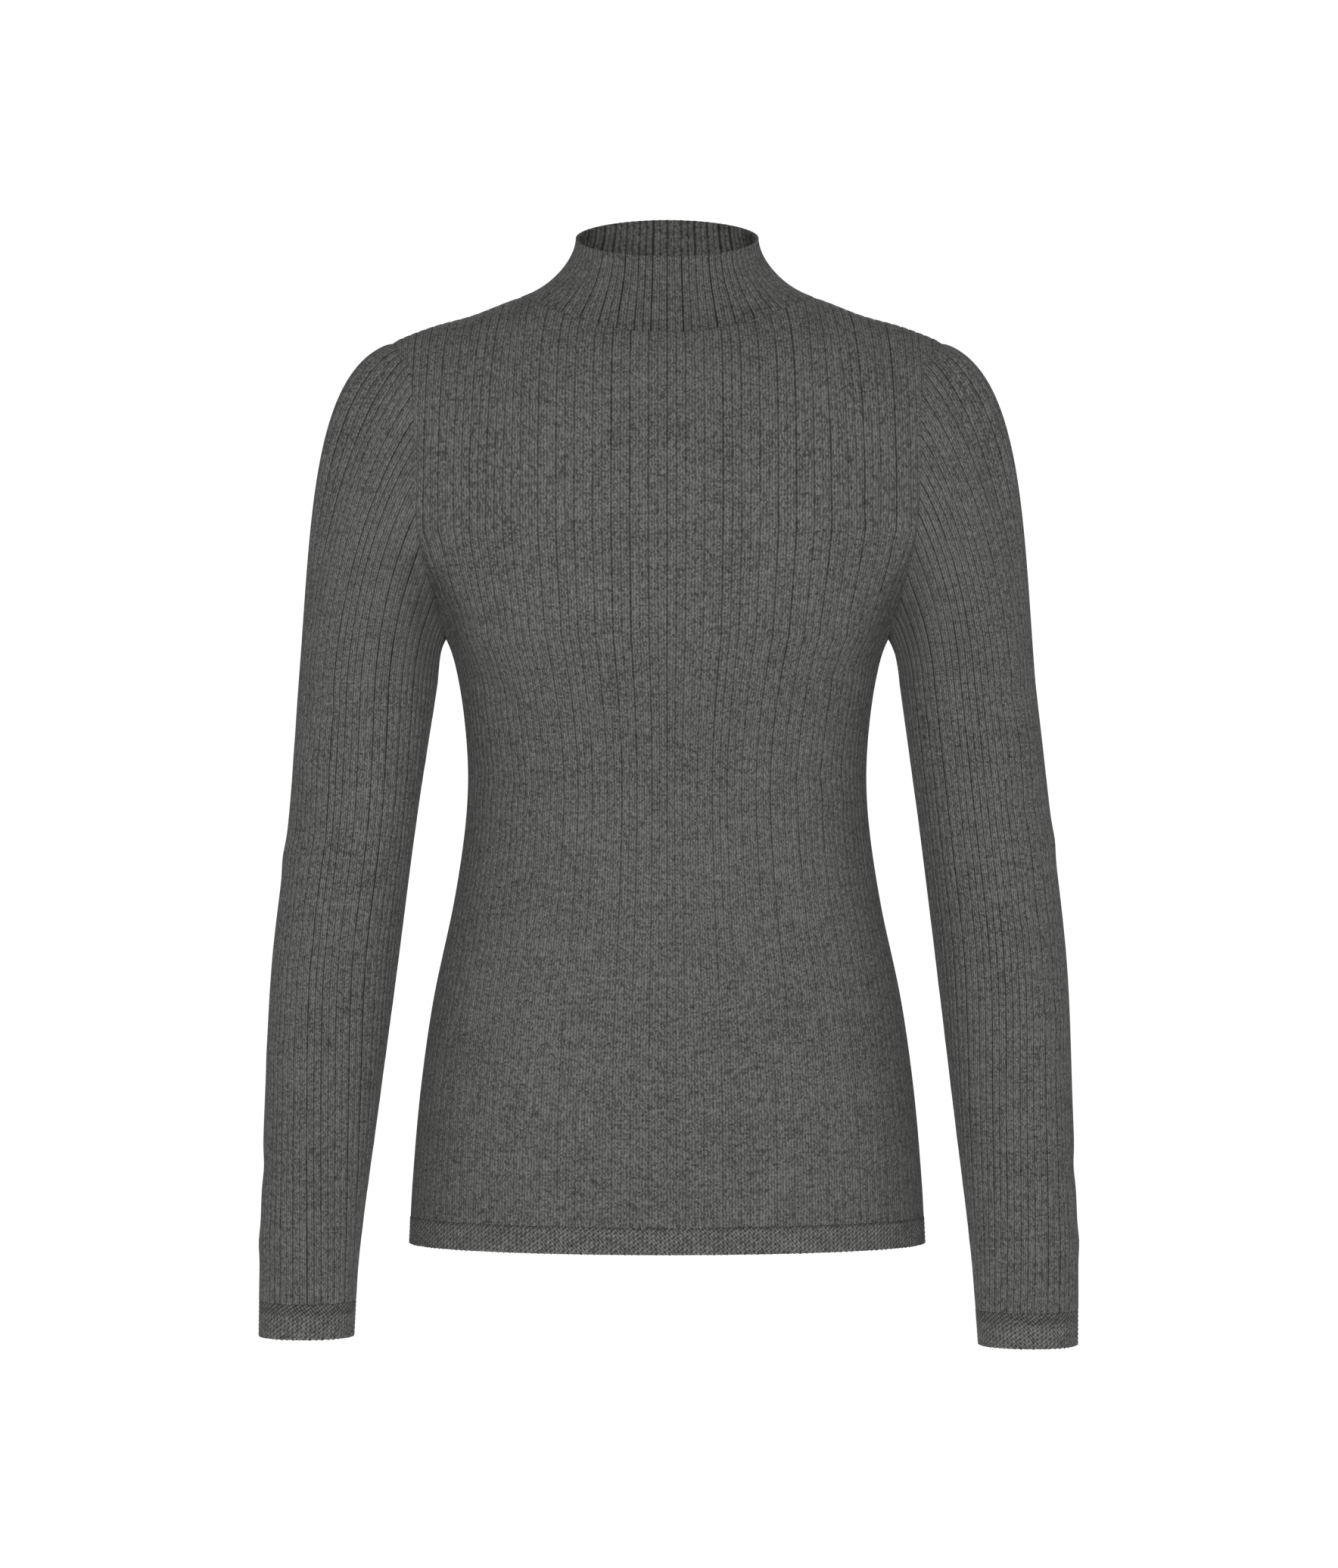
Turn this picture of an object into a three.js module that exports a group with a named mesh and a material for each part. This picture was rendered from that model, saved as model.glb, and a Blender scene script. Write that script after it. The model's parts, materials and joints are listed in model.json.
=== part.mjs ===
// Turtleneck sweater in fine rib knit, in the form it takes when worn, with nobody inside.
// Millimetres, +Z up. The front faces -Y and the wearer's left is +X.
// The origin is where the shoulders carry it: the middle of the neck's base, between the side neck points.
import * as THREE from 'three';
import { mergeVertices } from 'three/addons/utils/BufferGeometryUtils.js';

// Cloth
const WALL = 1.8; // from the plain inside to the valleys between two ribs
const RIB_RISE = 0.8; // a rib's crest stands this far above its valleys
const BAND_WALL = 2.4; // the hem and cuff bands are knitted plain and a little thicker
const SEAM_GAP = 0.3; // clear distance between two pieces at a seam
const RIB_FADE = 4; // a rib sinks into the cloth within this distance of a seam it doesn't cross

// Ribs and the plain inside. A rib takes two steps of the outer wall: a crest and a valley.
const RIBS = { panel: 72, sleeve: 62, collar: 80 };
const PLAIN_STEPS = { panel: 24, sleeve: 31, collar: 32, band: 24 };

// The body below the shoulders: half width, and depth forward and backward of the side seams.
const BODY = [
  { z: -610, width: 166.0, front: 97, back: 112 },
  { z: -566, width: 163.7, front: 100, back: 112 },
  { z: -507, width: 158.5, front: 102, back: 108 },
  { z: -449, width: 150.2, front: 98, back: 98 },
  { z: -390, width: 137.6, front: 91, back: 88 },
  { z: -343, width: 130.2, front: 88, back: 83 },
  { z: -308, width: 127.8, front: 88, back: 82 },
  { z: -273, width: 129.6, front: 95, back: 87 },
  { z: -240, width: 134.6, front: 108, back: 94 },
  { z: -217, width: 142.0, front: 116, back: 98 },
  { z: -185, width: 164.0, front: 119, back: 102 },
  { z: -150, width: 190.0, front: 110, back: 107 },
];
const HEM_BOTTOM = -605.5;
const HEM_BAND_HEIGHT = 17;

// Above the chest line the front and back curve over to meet on the shoulder line.
const CHEST_LINE = -150;
const SHOULDER_LINE = [
  { x: 0, z: 12 },
  { x: 60, z: 9 },
  { x: 94, z: 2.5 },
  { x: 125, z: -9 },
  { x: 152, z: -16.6 },
  { x: 177, z: -26.5 },
  { x: 205, z: -42 },
];

// The armhole is cut along this line, seen from the front.
const ARMHOLE = [
  { z: -217, x: 142.3 },
  { z: -150, x: 158.5 },
  { z: -45, x: 164.5 },
  { z: -26.5, x: 177.0 },
];
const ARMHOLE_PASSES = 6; // the armhole's place and the height there settle each other in this many
const UNDERARM = ARMHOLE[0];
const ARMHOLE_BEND = ARMHOLE[2];
const SHOULDER_TIP = ARMHOLE[3];

// Rib spacing along the front and back above the underarm, where the armhole cuts ribs off.
const RIB_PITCH = [
  { z: -217, pitch: 5.62 },
  { z: -150, pitch: 5.85 },
];
const CHEST_PITCH = RIB_PITCH[1].pitch;

// Rows of the front and back up to the chest line. The rows over the shoulder are shares of the way.
const PANEL_HEIGHTS = [-500, -400, -343, -308, -260, -217, -208, -185, CHEST_LINE];
const INSIDE_SET_BACK = 0.985; // the inside stops here, so that its longer steps stay clear of the collar

// Neck opening in plan, and the collar's rim above it.
const NECK = { halfWidth: 94, front: 70, back: 42 };
const NECK_CORNER = { from: 80, to: 108 }; // ribs between these chest distances end round the neck's corner
const RIM = { halfWidth: 57.5, halfDepth: 50, centreY: -12, z: 40.5, rise: 16.7 };
const COLLAR_ROWS = [0, 0.28, 0.6, 1];
const COLLAR_SPREAD = 0.31; // ribs lie closer at the front and back, wider apart over the shoulders
const COLLAR_LEAN = 50; // how strongly the collar leaves the neck seam along the shoulder
const COLLAR_STAND = 50; // how strongly it arrives upright at the rim

// Sleeves, each as rings of its own half width about a centre line that hangs a little forward.
const SLEEVE_RINGS = {
  left: [
    { z: -245, x: 193.4, y: 0, radius: 43.2 },
    { z: -332, x: 204.1, y: -4, radius: 42.1 },
    { z: -425, x: 214.7, y: -10, radius: 41.4 },
    { z: -518, x: 221.6, y: -20, radius: 37.6 },
    { z: -610, x: 228.2, y: -30, radius: 33.6 },
    { z: -670, x: 230.3, y: -36, radius: 31.2 },
  ],
  right: [
    { z: -245, x: 192.6, y: 0, radius: 44.2 },
    { z: -332, x: 202.3, y: -4, radius: 40.6 },
    { z: -425, x: 213.4, y: -10, radius: 39.9 },
    { z: -518, x: 221.4, y: -20, radius: 35.9 },
    { z: -610, x: 228.3, y: -30, radius: 31.2 },
    { z: -670, x: 230.4, y: -36, radius: 29.7 },
  ],
};
const SLEEVE_DEPTH = 1.04; // a sleeve is this much deeper than it is wide
const CUFF_BOTTOM = { left: -667.5, right: -662 };
const CUFF_HEIGHT = 22;
const SLEEVE_HEIGHTS = [-540, -430, -332];
const CAP_ROWS = [0, 0.4, 0.7, 0.88, 1]; // shares of the way from the upper-arm ring to the armhole

const ARMHOLE_CLEARANCE = 0.6; // the sleeve's inner edge stands off the armhole seam by this much more

// The sleeve cap leaves the armhole outward at the shoulder and downward at the underarm.
const CAP_CURVE = {
  fullness: 2.3,
  leanTop: 16,
  leanUnder: 60,
  leanGrowth: 1.5,
  leave: 0.73,
  arrive: 1.3,
  outward: 0.08,
};

const ELLIPSE_STEPS = 240; // straight steps in which a quarter ellipse is measured
const YARN = new THREE.Color(0x4a4a49);

// Value of one named column of a table at a height, on a smooth curve through its rows.
function column(table, key, name, at) {
  const rows = [...table].sort((a, b) => a[key] - b[key]);
  const last = rows.length - 1;
  let i = 0;
  while (i < last - 1 && at > rows[i + 1][key]) i += 1;
  const slope = (j, k) => (rows[k][name] - rows[j][name]) / (rows[k][key] - rows[j][key]);
  const span = rows[i + 1][key] - rows[i][key];
  const t = (at - rows[i][key]) / span;
  const startSlope = slope(Math.max(i - 1, 0), i + 1);
  const endSlope = slope(i, Math.min(i + 2, last));
  return hermite(rows[i][name], startSlope * span, rows[i + 1][name], endSlope * span, t);
}

// The same on straight lines between the rows.
function straightColumn(table, key, name, at) {
  let i = 0;
  while (i < table.length - 2 && at > table[i + 1][key]) i += 1;
  const low = table[i];
  const high = table[i + 1];
  return low[name] + ((high[name] - low[name]) * (at - low[key])) / (high[key] - low[key]);
}

// Cubic curve from one value to another, with the rate of change at each end.
function hermite(start, startRate, end, endRate, t) {
  const t2 = t * t;
  const t3 = t2 * t;
  return (
    (2 * t3 - 3 * t2 + 1) * start +
    (t3 - 2 * t2 + t) * startRate +
    (3 * t2 - 2 * t3) * end +
    (t3 - t2) * endRate
  );
}

function hermitePoint(start, startRate, end, endRate, t) {
  const along = (axis) => hermite(start[axis], startRate[axis], end[axis], endRate[axis], t);
  return new THREE.Vector3(along('x'), along('y'), along('z'));
}

const shoulderZ = (x) => column(SHOULDER_LINE, 'x', 'z', Math.abs(x));
const armholeX = (z) => straightColumn(ARMHOLE, 'z', 'x', z);

// Half width and depth of the body's ellipse on the front (face -1) or the back (face 1).
function bodyEllipse(z, face) {
  const height = Math.min(z, CHEST_LINE);
  const side = face < 0 ? 'front' : 'back';
  return { width: column(BODY, 'z', 'width', height), depth: column(BODY, 'z', side, height) };
}

// The body's outer form: zero on the cloth, below zero inside it. Above the chest line the ellipse
// shrinks as a quarter circle does, until front and back meet on the shoulder line.
function bodyField(x, y, z) {
  const { width, depth } = bodyEllipse(z, y < 0 ? -1 : 1);
  const climb = Math.max(0, z - CHEST_LINE) / (shoulderZ(x) - CHEST_LINE);
  return (y / depth) ** 2 - (1 - (x / width) ** 2) * (1 - climb ** 2);
}

function bodyNormal(point) {
  const step = 0.4;
  const { x, y, z } = point;
  return new THREE.Vector3(
    bodyField(x + step, y, z) - bodyField(x - step, y, z),
    bodyField(x, y + step, z) - bodyField(x, y - step, z),
    bodyField(x, y, z + step) - bodyField(x, y, z - step),
  ).normalize();
}

// Depth of the cloth in front of or behind the side seams, at a place seen from the front.
function bodyDepth(x, z, face) {
  const { width, depth } = bodyEllipse(z, face);
  const climb = Math.max(0, z - CHEST_LINE) / (shoulderZ(x) - CHEST_LINE);
  return depth * Math.sqrt(Math.max(0, 1 - (x / width) ** 2) * Math.max(0, 1 - climb ** 2));
}

// Place on a quarter ellipse at a distance along it from the middle of the front or back.
function alongEllipse(width, depth, distance) {
  let travelled = 0;
  let place = { x: 0, y: depth };
  for (let i = 1; i <= ELLIPSE_STEPS; i += 1) {
    const angle = (i / ELLIPSE_STEPS) * (Math.PI / 2);
    const next = { x: width * Math.sin(angle), y: depth * Math.cos(angle) };
    const stride = Math.hypot(next.x - place.x, next.y - place.y);
    if (travelled + stride >= distance) {
      const share = (distance - travelled) / stride;
      return { x: place.x + share * (next.x - place.x), y: place.y + share * (next.y - place.y) };
    }
    travelled += stride;
    place = next;
  }
  return { x: width, y: 0, length: travelled };
}

const quarterLength = (width, depth) => alongEllipse(width, depth, Infinity).length;

// Point of the front or back below the chest line, in a rib's column, kept off the seams.
function lowPanelPoint(position, z, face) {
  const { width, depth } = bodyEllipse(z, face);
  const reach = Math.abs(position);
  const spread = z <= UNDERARM.z
    ? reach * quarterLength(width, depth)
    : reach * (RIBS.panel / 2) * straightColumn(RIB_PITCH, 'z', 'pitch', z);
  const place = alongEllipse(width, depth, spread);
  const limit = z > UNDERARM.z ? armholeX(z) - SEAM_GAP / 2 : width;
  const x = Math.min(place.x, limit);
  const y = x < place.x ? bodyDepth(x, z, face) : place.y;
  return new THREE.Vector3(Math.sign(position) * x, face * Math.max(y, SEAM_GAP / 2), z);
}

// Where a rib that stands at a distance from the middle on the chest line ends, seen from the front.
// Ribs run straight up, and those beside the neck's corner crowd towards it.
function ribTop(chestX, face) {
  const neckDepth = face < 0 ? NECK.front : NECK.back;
  const corner = Math.asin(NECK_CORNER.from / NECK.halfWidth);
  if (chestX > NECK_CORNER.to) {
    const tipX = SHOULDER_TIP.x;
    const share = (chestX - NECK_CORNER.to) / (tipX - NECK_CORNER.to);
    return { x: NECK.halfWidth + share * (tipX - NECK.halfWidth), y: 0 };
  }
  const past = Math.max(0, chestX - NECK_CORNER.from) / (NECK_CORNER.to - NECK_CORNER.from);
  const angle = past > 0
    ? corner + past * (Math.PI / 2 - corner)
    : Math.asin(chestX / NECK.halfWidth);
  return { x: NECK.halfWidth * Math.sin(angle), y: neckDepth * Math.cos(angle) };
}

// Point of the front or back above the chest line: a share of the way to the neck or shoulder seam.
function highPanelPoint(position, share, face) {
  const { width, depth } = bodyEllipse(CHEST_LINE, face);
  const distance = (Math.abs(position) * RIBS.panel * CHEST_PITCH) / 2;
  const chestX = alongEllipse(width, depth, distance).x;
  const top = ribTop(chestX, face);
  const climb = share * Math.acos(Math.min(1, top.y / bodyDepth(top.x, CHEST_LINE, face)));
  const heightAt = (x) => CHEST_LINE + Math.sin(climb) * (shoulderZ(x) - CHEST_LINE);
  const freeX = chestX + share ** 2 * (top.x - chestX);
  let x = Math.min(freeX, SHOULDER_TIP.x);
  range(ARMHOLE_PASSES).forEach(() => {
    x = Math.min(freeX, armholeX(heightAt(x)) - SEAM_GAP / 2);
  });
  const y = bodyDepth(x, CHEST_LINE, face) * Math.cos(climb);
  return new THREE.Vector3(Math.sign(position) * x, face * Math.max(y, SEAM_GAP / 2), heightAt(x));
}

// Rows over the shoulder, as shares of the way up, with one at the armhole's bend.
function panelShares() {
  const climb = (ARMHOLE_BEND.z - CHEST_LINE) / (shoulderZ(ARMHOLE_BEND.x) - CHEST_LINE);
  const share = Math.asin(climb) / (Math.PI / 2);
  return [share / 2, share, (share + 1) / 2, 1];
}

// Front (face -1) or back (face 1) panel. Ribs fade out beside the armhole and side seams.
function panelGeometry(face) {
  const bandTop = HEM_BOTTOM + HEM_BAND_HEIGHT + SEAM_GAP;
  const low = [bandTop, ...PANEL_HEIGHTS].map((z) => (position) => lowPanelPoint(position, z, face));
  const high = panelShares().map((share) => (position) => highPanelPoint(position, share, face));
  const outerRows = [...low, ...high];
  const insideTop = (position) => highPanelPoint(position, INSIDE_SET_BACK, face);
  const innerRows = [...outerRows.slice(0, -1), insideTop];
  const steps = RIBS.panel * 2;
  const stride = steps / PLAIN_STEPS.panel;
  const positionOf = (i) => -face * ((2 * i) / steps - 1);
  const outerPoint = (row, i) => {
    const point = row(positionOf(i));
    const toArmhole = point.z < UNDERARM.z ? Infinity : armholeX(point.z) - Math.abs(point.x);
    const toSeam = Math.min(toArmhole, point.distanceTo(row(1)), point.distanceTo(row(-1)));
    const rise = RIB_RISE * (i % 2) * Math.min(1, toSeam / RIB_FADE);
    return point.addScaledVector(bodyNormal(point), rise);
  };
  const innerPoint = (row, i) => {
    const point = row(positionOf(i * stride));
    return point.addScaledVector(bodyNormal(point), -WALL);
  };
  const outer = outerRows.map((row) => range(steps + 1).map((i) => outerPoint(row, i)));
  const inner = innerRows.map((row) => range(PLAIN_STEPS.panel + 1).map((i) => innerPoint(row, i)));
  return wallGeometry(outer, inner, false);
}

const range = (count) => [...Array(count).keys()];
const sideOf = (name) => (name === 'left' ? 1 : -1);

// Point of a sleeve's ring at a height. The offset runs round it from the outer line, in shares of
// the half ring.
function ringPoint(name, z, offset) {
  const side = sideOf(name);
  const rings = SLEEVE_RINGS[name];
  const radius = column(rings, 'z', 'radius', z);
  const turn = side * (Math.PI / 2) + offset * Math.PI;
  return new THREE.Vector3(
    side * column(rings, 'z', 'x', z) + radius * Math.sin(turn),
    column(rings, 'z', 'y', z) - radius * SLEEVE_DEPTH * Math.cos(turn),
    z,
  );
}

// Point of the sleeve's cap between the upper-arm ring (share 0) and the armhole (share 1).
function capPoint(name, offset, share) {
  const side = sideOf(name);
  const away = Math.abs(offset);
  const armholeZ = SHOULDER_TIP.z + (UNDERARM.z - SHOULDER_TIP.z) * away ** CAP_CURVE.fullness;
  const x = armholeX(armholeZ);
  const face = side * Math.sign(offset);
  const y = face * bodyDepth(x, armholeZ, face || 1);
  const start = new THREE.Vector3(side * (x + SEAM_GAP / 2), y, armholeZ);
  const end = ringPoint(name, SLEEVE_RINGS[name][0].z, offset);
  const length = start.distanceTo(end);
  const lean = THREE.MathUtils.degToRad(
    CAP_CURVE.leanTop + (CAP_CURVE.leanUnder - CAP_CURVE.leanTop) * away ** CAP_CURVE.leanGrowth,
  );
  const leave = new THREE.Vector3(side * Math.cos(lean), 0, -Math.sin(lean));
  leave.multiplyScalar(CAP_CURVE.leave * length);
  const arrive = new THREE.Vector3(side * CAP_CURVE.outward, 0, -1);
  arrive.multiplyScalar(CAP_CURVE.arrive * length);
  return hermitePoint(start, leave, end, arrive, 1 - share);
}

// A sleeve: a tube of rings and the cap. Ribs keep their width down the sleeve, so those at the
// underarm seam are cut off one by one as it narrows.
function sleeveGeometry(name) {
  const outward = sideOf(name);
  const rings = SLEEVE_RINGS[name];
  const bottom = CUFF_BOTTOM[name] + CUFF_HEIGHT + SEAM_GAP;
  const tubeRows = [bottom, ...SLEEVE_HEIGHTS].map((z) => {
    const narrowing = column(rings, 'z', 'radius', z) / rings[0].radius;
    return (offset) => ringPoint(name, z, THREE.MathUtils.clamp(offset / narrowing, -1, 1));
  });
  const capRows = CAP_ROWS.map((share) => (offset) => capPoint(name, offset, share));
  const rows = [...tubeRows, ...capRows];
  const armholeRow = rows.length - 1;
  const steps = RIBS.sleeve * 2;
  const stride = steps / PLAIN_STEPS.sleeve;

  // Outward direction of the cloth. Along the underarm seam it faces the body, and at the armhole it
  // stays in the seam's own plane.
  const normalAt = (row, offset) => {
    const small = 0.004;
    const middle = THREE.MathUtils.clamp(offset, -1 + small, 1 - small);
    const around = rows[row](middle + small).sub(rows[row](middle - small));
    const up = rows[Math.min(row + 1, armholeRow)](offset).sub(rows[Math.max(row - 1, 0)](offset));
    const normal = around.cross(up).normalize();
    return row === armholeRow ? normal.setX(0).normalize() : normal;
  };
  const clothPoint = (row, i, depth) => {
    const offset = (2 * i) / steps - 1;
    const point = rows[row](offset);
    const toSeam = point.distanceTo(rows[row](1));
    const onSeam = toSeam < SEAM_GAP && row < armholeRow;
    const normal = onSeam ? new THREE.Vector3(-outward, 0, 0) : normalAt(row, offset);
    const rise = row < armholeRow ? RIB_RISE * (i % 2) * Math.min(1, toSeam / RIB_FADE) : 0;
    const place = (onSeam ? rows[row](1) : point).addScaledVector(normal, depth > 0 ? -depth : rise);
    if (depth > 0 && row === armholeRow) place.x += outward * ARMHOLE_CLEARANCE;
    return place;
  };
  const outer = rows.map((_, row) => range(steps).map((i) => clothPoint(row, i, 0)));
  const inner = rows.map((_, row) => range(PLAIN_STEPS.sleeve).map((i) => clothPoint(row, i * stride, WALL)));
  return wallGeometry(outer, inner, true);
}

// The neck seam, at an angle from the middle of the front towards the wearer's left.
function neckPoint(angle) {
  const x = NECK.halfWidth * Math.sin(angle);
  const face = Math.cos(angle) > 0 ? -1 : 1;
  const depth = face < 0 ? NECK.front : NECK.back;
  const y = -depth * Math.cos(angle);
  const cosine = Math.abs(y) / bodyDepth(x, CHEST_LINE, face);
  const climb = Math.sqrt(1 - cosine ** 2);
  return new THREE.Vector3(x, y, CHEST_LINE + climb * (shoulderZ(x) - CHEST_LINE));
}

// Collar point a share of the way from the neck seam to the rim, in the column of a rib.
function collarPoint(angle, share) {
  const seamAngle = angle - (COLLAR_SPREAD / 2) * Math.sin(2 * angle);
  const seam = neckPoint(seamAngle);
  const normal = bodyNormal(seam);
  const inward = new THREE.Vector3(-Math.sin(seamAngle), Math.cos(seamAngle), 0);
  const leave = inward.addScaledVector(normal, -inward.dot(normal)).normalize();
  const start = seam.addScaledVector(leave, SEAM_GAP);
  const end = new THREE.Vector3(
    RIM.halfWidth * Math.sin(angle),
    RIM.centreY - RIM.halfDepth * Math.cos(angle),
    RIM.z - RIM.rise * Math.cos(angle),
  );
  const arrive = new THREE.Vector3(0, 0, COLLAR_STAND);
  return hermitePoint(start, leave.multiplyScalar(COLLAR_LEAN), end, arrive, share);
}

function collarNormal(angle, share) {
  const small = 0.01;
  const round = collarPoint(angle + small, share).sub(collarPoint(angle - small, share));
  const above = Math.min(share + small, 1);
  const below = Math.max(share - small, 0);
  const up = collarPoint(angle, above).sub(collarPoint(angle, below));
  return round.cross(up).normalize();
}

function collarGeometry() {
  const steps = RIBS.collar * 2;
  const stride = steps / PLAIN_STEPS.collar;
  const wallPoint = (share, i, inside) => {
    const angle = (i / steps) * 2 * Math.PI;
    const rise = inside ? -WALL : RIB_RISE * (i % 2);
    return collarPoint(angle, share).addScaledVector(collarNormal(angle, share), rise);
  };
  const ring = (share, count, step, inside) => range(count).map((i) => wallPoint(share, i * step, inside));
  const outer = COLLAR_ROWS.map((share) => ring(share, steps, 1, false));
  const inner = COLLAR_ROWS.map((share) => ring(share, PLAIN_STEPS.collar, stride, true));
  return wallGeometry(outer, inner, true);
}

// Half of the hem band, below the front (face -1) or the back (face 1).
function hemBandGeometry(face) {
  const heights = [HEM_BOTTOM, HEM_BOTTOM + HEM_BAND_HEIGHT];
  const wallPoint = (z, i, inside) => {
    const point = lowPanelPoint(-face * ((2 * i) / PLAIN_STEPS.band - 1), z, face);
    return point.addScaledVector(bodyNormal(point), inside ? -BAND_WALL : 0);
  };
  const outer = heights.map((z) => range(PLAIN_STEPS.band + 1).map((i) => wallPoint(z, i, false)));
  const inner = heights.map((z) => range(PLAIN_STEPS.band + 1).map((i) => wallPoint(z, i, true)));
  return wallGeometry(outer, inner, false);
}

function cuffGeometry(name) {
  const heights = [CUFF_BOTTOM[name], CUFF_BOTTOM[name] + CUFF_HEIGHT];
  const wallPoint = (z, i, inside) => {
    const radius = column(SLEEVE_RINGS[name], 'z', 'radius', z);
    const offset = (2 * i) / PLAIN_STEPS.band - 1;
    const point = ringPoint(name, z, offset);
    const centre = ringPoint(name, z, 0).add(ringPoint(name, z, 1)).multiplyScalar(0.5);
    return inside ? point.lerp(centre, BAND_WALL / radius) : point;
  };
  const outer = heights.map((z) => range(PLAIN_STEPS.band).map((i) => wallPoint(z, i, false)));
  const inner = heights.map((z) => range(PLAIN_STEPS.band).map((i) => wallPoint(z, i, true)));
  return wallGeometry(outer, inner, true);
}

// A closed wall from rows of outer points and rows of inner points, both listed bottom row first
// and anticlockwise seen from above. A closed wall joins its last column to its first. There can be
// several outer columns for each inner one.
function wallGeometry(outer, inner, closed) {
  const rows = outer.length;
  const outerCount = outer[0].length;
  const innerCount = inner[0].length;
  const outerSteps = closed ? outerCount : outerCount - 1;
  const innerSteps = closed ? innerCount : innerCount - 1;
  const ratio = outerSteps / innerSteps;
  const positions = [...outer.flat(), ...inner.flat()].flatMap((p) => [p.x, p.y, p.z]);
  const out = (row, i) => row * outerCount + (i % outerCount);
  const into = (row, i) => rows * outerCount + row * innerCount + (i % innerCount);
  const faces = [];
  const quad = (a, b, c, d) => faces.push([a, b, c], [a, c, d]);
  for (let row = 0; row < rows - 1; row += 1) {
    for (let i = 0; i < outerSteps; i += 1) {
      quad(out(row, i), out(row, i + 1), out(row + 1, i + 1), out(row + 1, i));
    }
    for (let i = 0; i < innerSteps; i += 1) {
      quad(into(row, i + 1), into(row, i), into(row + 1, i), into(row + 1, i + 1));
    }
    if (!closed) {
      quad(into(row, 0), out(row, 0), out(row + 1, 0), into(row + 1, 0));
      quad(out(row, outerSteps), into(row, innerSteps), into(row + 1, innerSteps), out(row + 1, outerSteps));
    }
  }
  const rim = (row, add) => {
    for (let i = 0; i < innerSteps; i += 1) {
      const middle = Math.floor(ratio * (i + 0.5));
      for (let k = ratio * i; k < ratio * (i + 1); k += 1) {
        add(out(row, k), out(row, k + 1), into(row, k < middle ? i : i + 1));
      }
      add(into(row, i + 1), into(row, i), out(row, middle));
    }
  };
  rim(rows - 1, (a, b, c) => faces.push([a, b, c]));
  rim(0, (a, b, c) => faces.push([a, c, b]));
  return mergedGeometry(positions, faces);
}

// Joins points that coincide and drops the triangles that this leaves without area.
function mergedGeometry(positions, faces) {
  const loose = new THREE.BufferGeometry();
  loose.setAttribute('position', new THREE.Float32BufferAttribute(positions, 3));
  loose.setIndex(faces.flat());
  const merged = mergeVertices(loose, 1e-3);
  const index = merged.getIndex().array;
  const kept = [];
  for (let i = 0; i < index.length; i += 3) {
    const [a, b, c] = index.slice(i, i + 3);
    if (a !== b && b !== c && c !== a) kept.push(a, b, c);
  }
  merged.setIndex(kept);
  merged.computeVertexNormals();
  return merged;
}

function knitMaterial(name) {
  return new THREE.MeshStandardMaterial({ name, color: YARN, roughness: 0.95, metalness: 0 });
}

function piece(name, geometry) {
  const mesh = new THREE.Mesh(geometry, knitMaterial(name));
  mesh.name = name;
  return mesh;
}

const sweater = new THREE.Group();
sweater.add(
  piece('front_panel', panelGeometry(-1)),
  piece('back_panel', panelGeometry(1)),
  piece('collar', collarGeometry()),
  piece('sleeve_left', sleeveGeometry('left')),
  piece('sleeve_right', sleeveGeometry('right')),
  piece('hem_band_front', hemBandGeometry(-1)),
  piece('hem_band_back', hemBandGeometry(1)),
  piece('cuff_left', cuffGeometry('left')),
  piece('cuff_right', cuffGeometry('right')),
);

export default sweater;
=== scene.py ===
# %% [markdown]
# A ribbed turtleneck sweater
#
# The real sweater is knitted in a dark grey melange yarn: front and back panels, two sleeves and a
# collar in a fine vertical rib, with narrow plain bands at the hem and cuffs. It is shown in the form
# it takes when worn, hollow inside. This lesson builds each knitted piece as one surface worked out
# with numpy, raises the ribs in its points, and gives it a thin wall.

# %% Start
import json
import math

import bpy
import numpy as np
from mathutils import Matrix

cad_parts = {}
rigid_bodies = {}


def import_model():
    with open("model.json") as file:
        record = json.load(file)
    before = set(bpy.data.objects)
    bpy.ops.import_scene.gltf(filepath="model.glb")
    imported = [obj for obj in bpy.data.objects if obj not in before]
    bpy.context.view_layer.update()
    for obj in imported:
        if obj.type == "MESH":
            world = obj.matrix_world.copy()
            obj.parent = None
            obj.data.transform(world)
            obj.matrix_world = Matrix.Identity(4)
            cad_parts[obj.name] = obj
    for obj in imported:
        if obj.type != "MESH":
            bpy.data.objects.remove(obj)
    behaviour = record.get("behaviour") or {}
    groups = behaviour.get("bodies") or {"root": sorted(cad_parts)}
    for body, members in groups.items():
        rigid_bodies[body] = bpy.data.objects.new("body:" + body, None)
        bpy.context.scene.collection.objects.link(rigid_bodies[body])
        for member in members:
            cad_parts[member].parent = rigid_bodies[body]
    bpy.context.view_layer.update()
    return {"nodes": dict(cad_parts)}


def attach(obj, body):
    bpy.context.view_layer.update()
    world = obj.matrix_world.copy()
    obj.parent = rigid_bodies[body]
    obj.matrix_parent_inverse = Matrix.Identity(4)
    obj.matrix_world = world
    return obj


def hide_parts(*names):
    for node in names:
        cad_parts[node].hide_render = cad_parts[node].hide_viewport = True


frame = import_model()
print("packed nodes:", ", ".join(sorted(frame["nodes"])))

# %% [markdown]
# Sizes
#
# A garment could be sculpted by eye, but a pattern cutter works from measurements. So the form is kept
# in short tables in millimetres, one row for each height, and a smooth curve runs through the rows.

# %% Measurements
MM = 0.001
SEAM_GAP = 0.3
SEAM_LINE = 0.1
WALL = 1.5
BAND_WALL = 1.9
HEM_BOTTOM = -605.5
HEM_BAND_HEIGHT = 17.0
CHEST_LINE = -150.0
RIBS = {"panel": 72, "sleeve": 62, "collar": 80}
CHEST_PITCH = 5.85
FRONT, BACK = -1, 1
SIDE_OF = {"left": 1, "right": -1}


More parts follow.
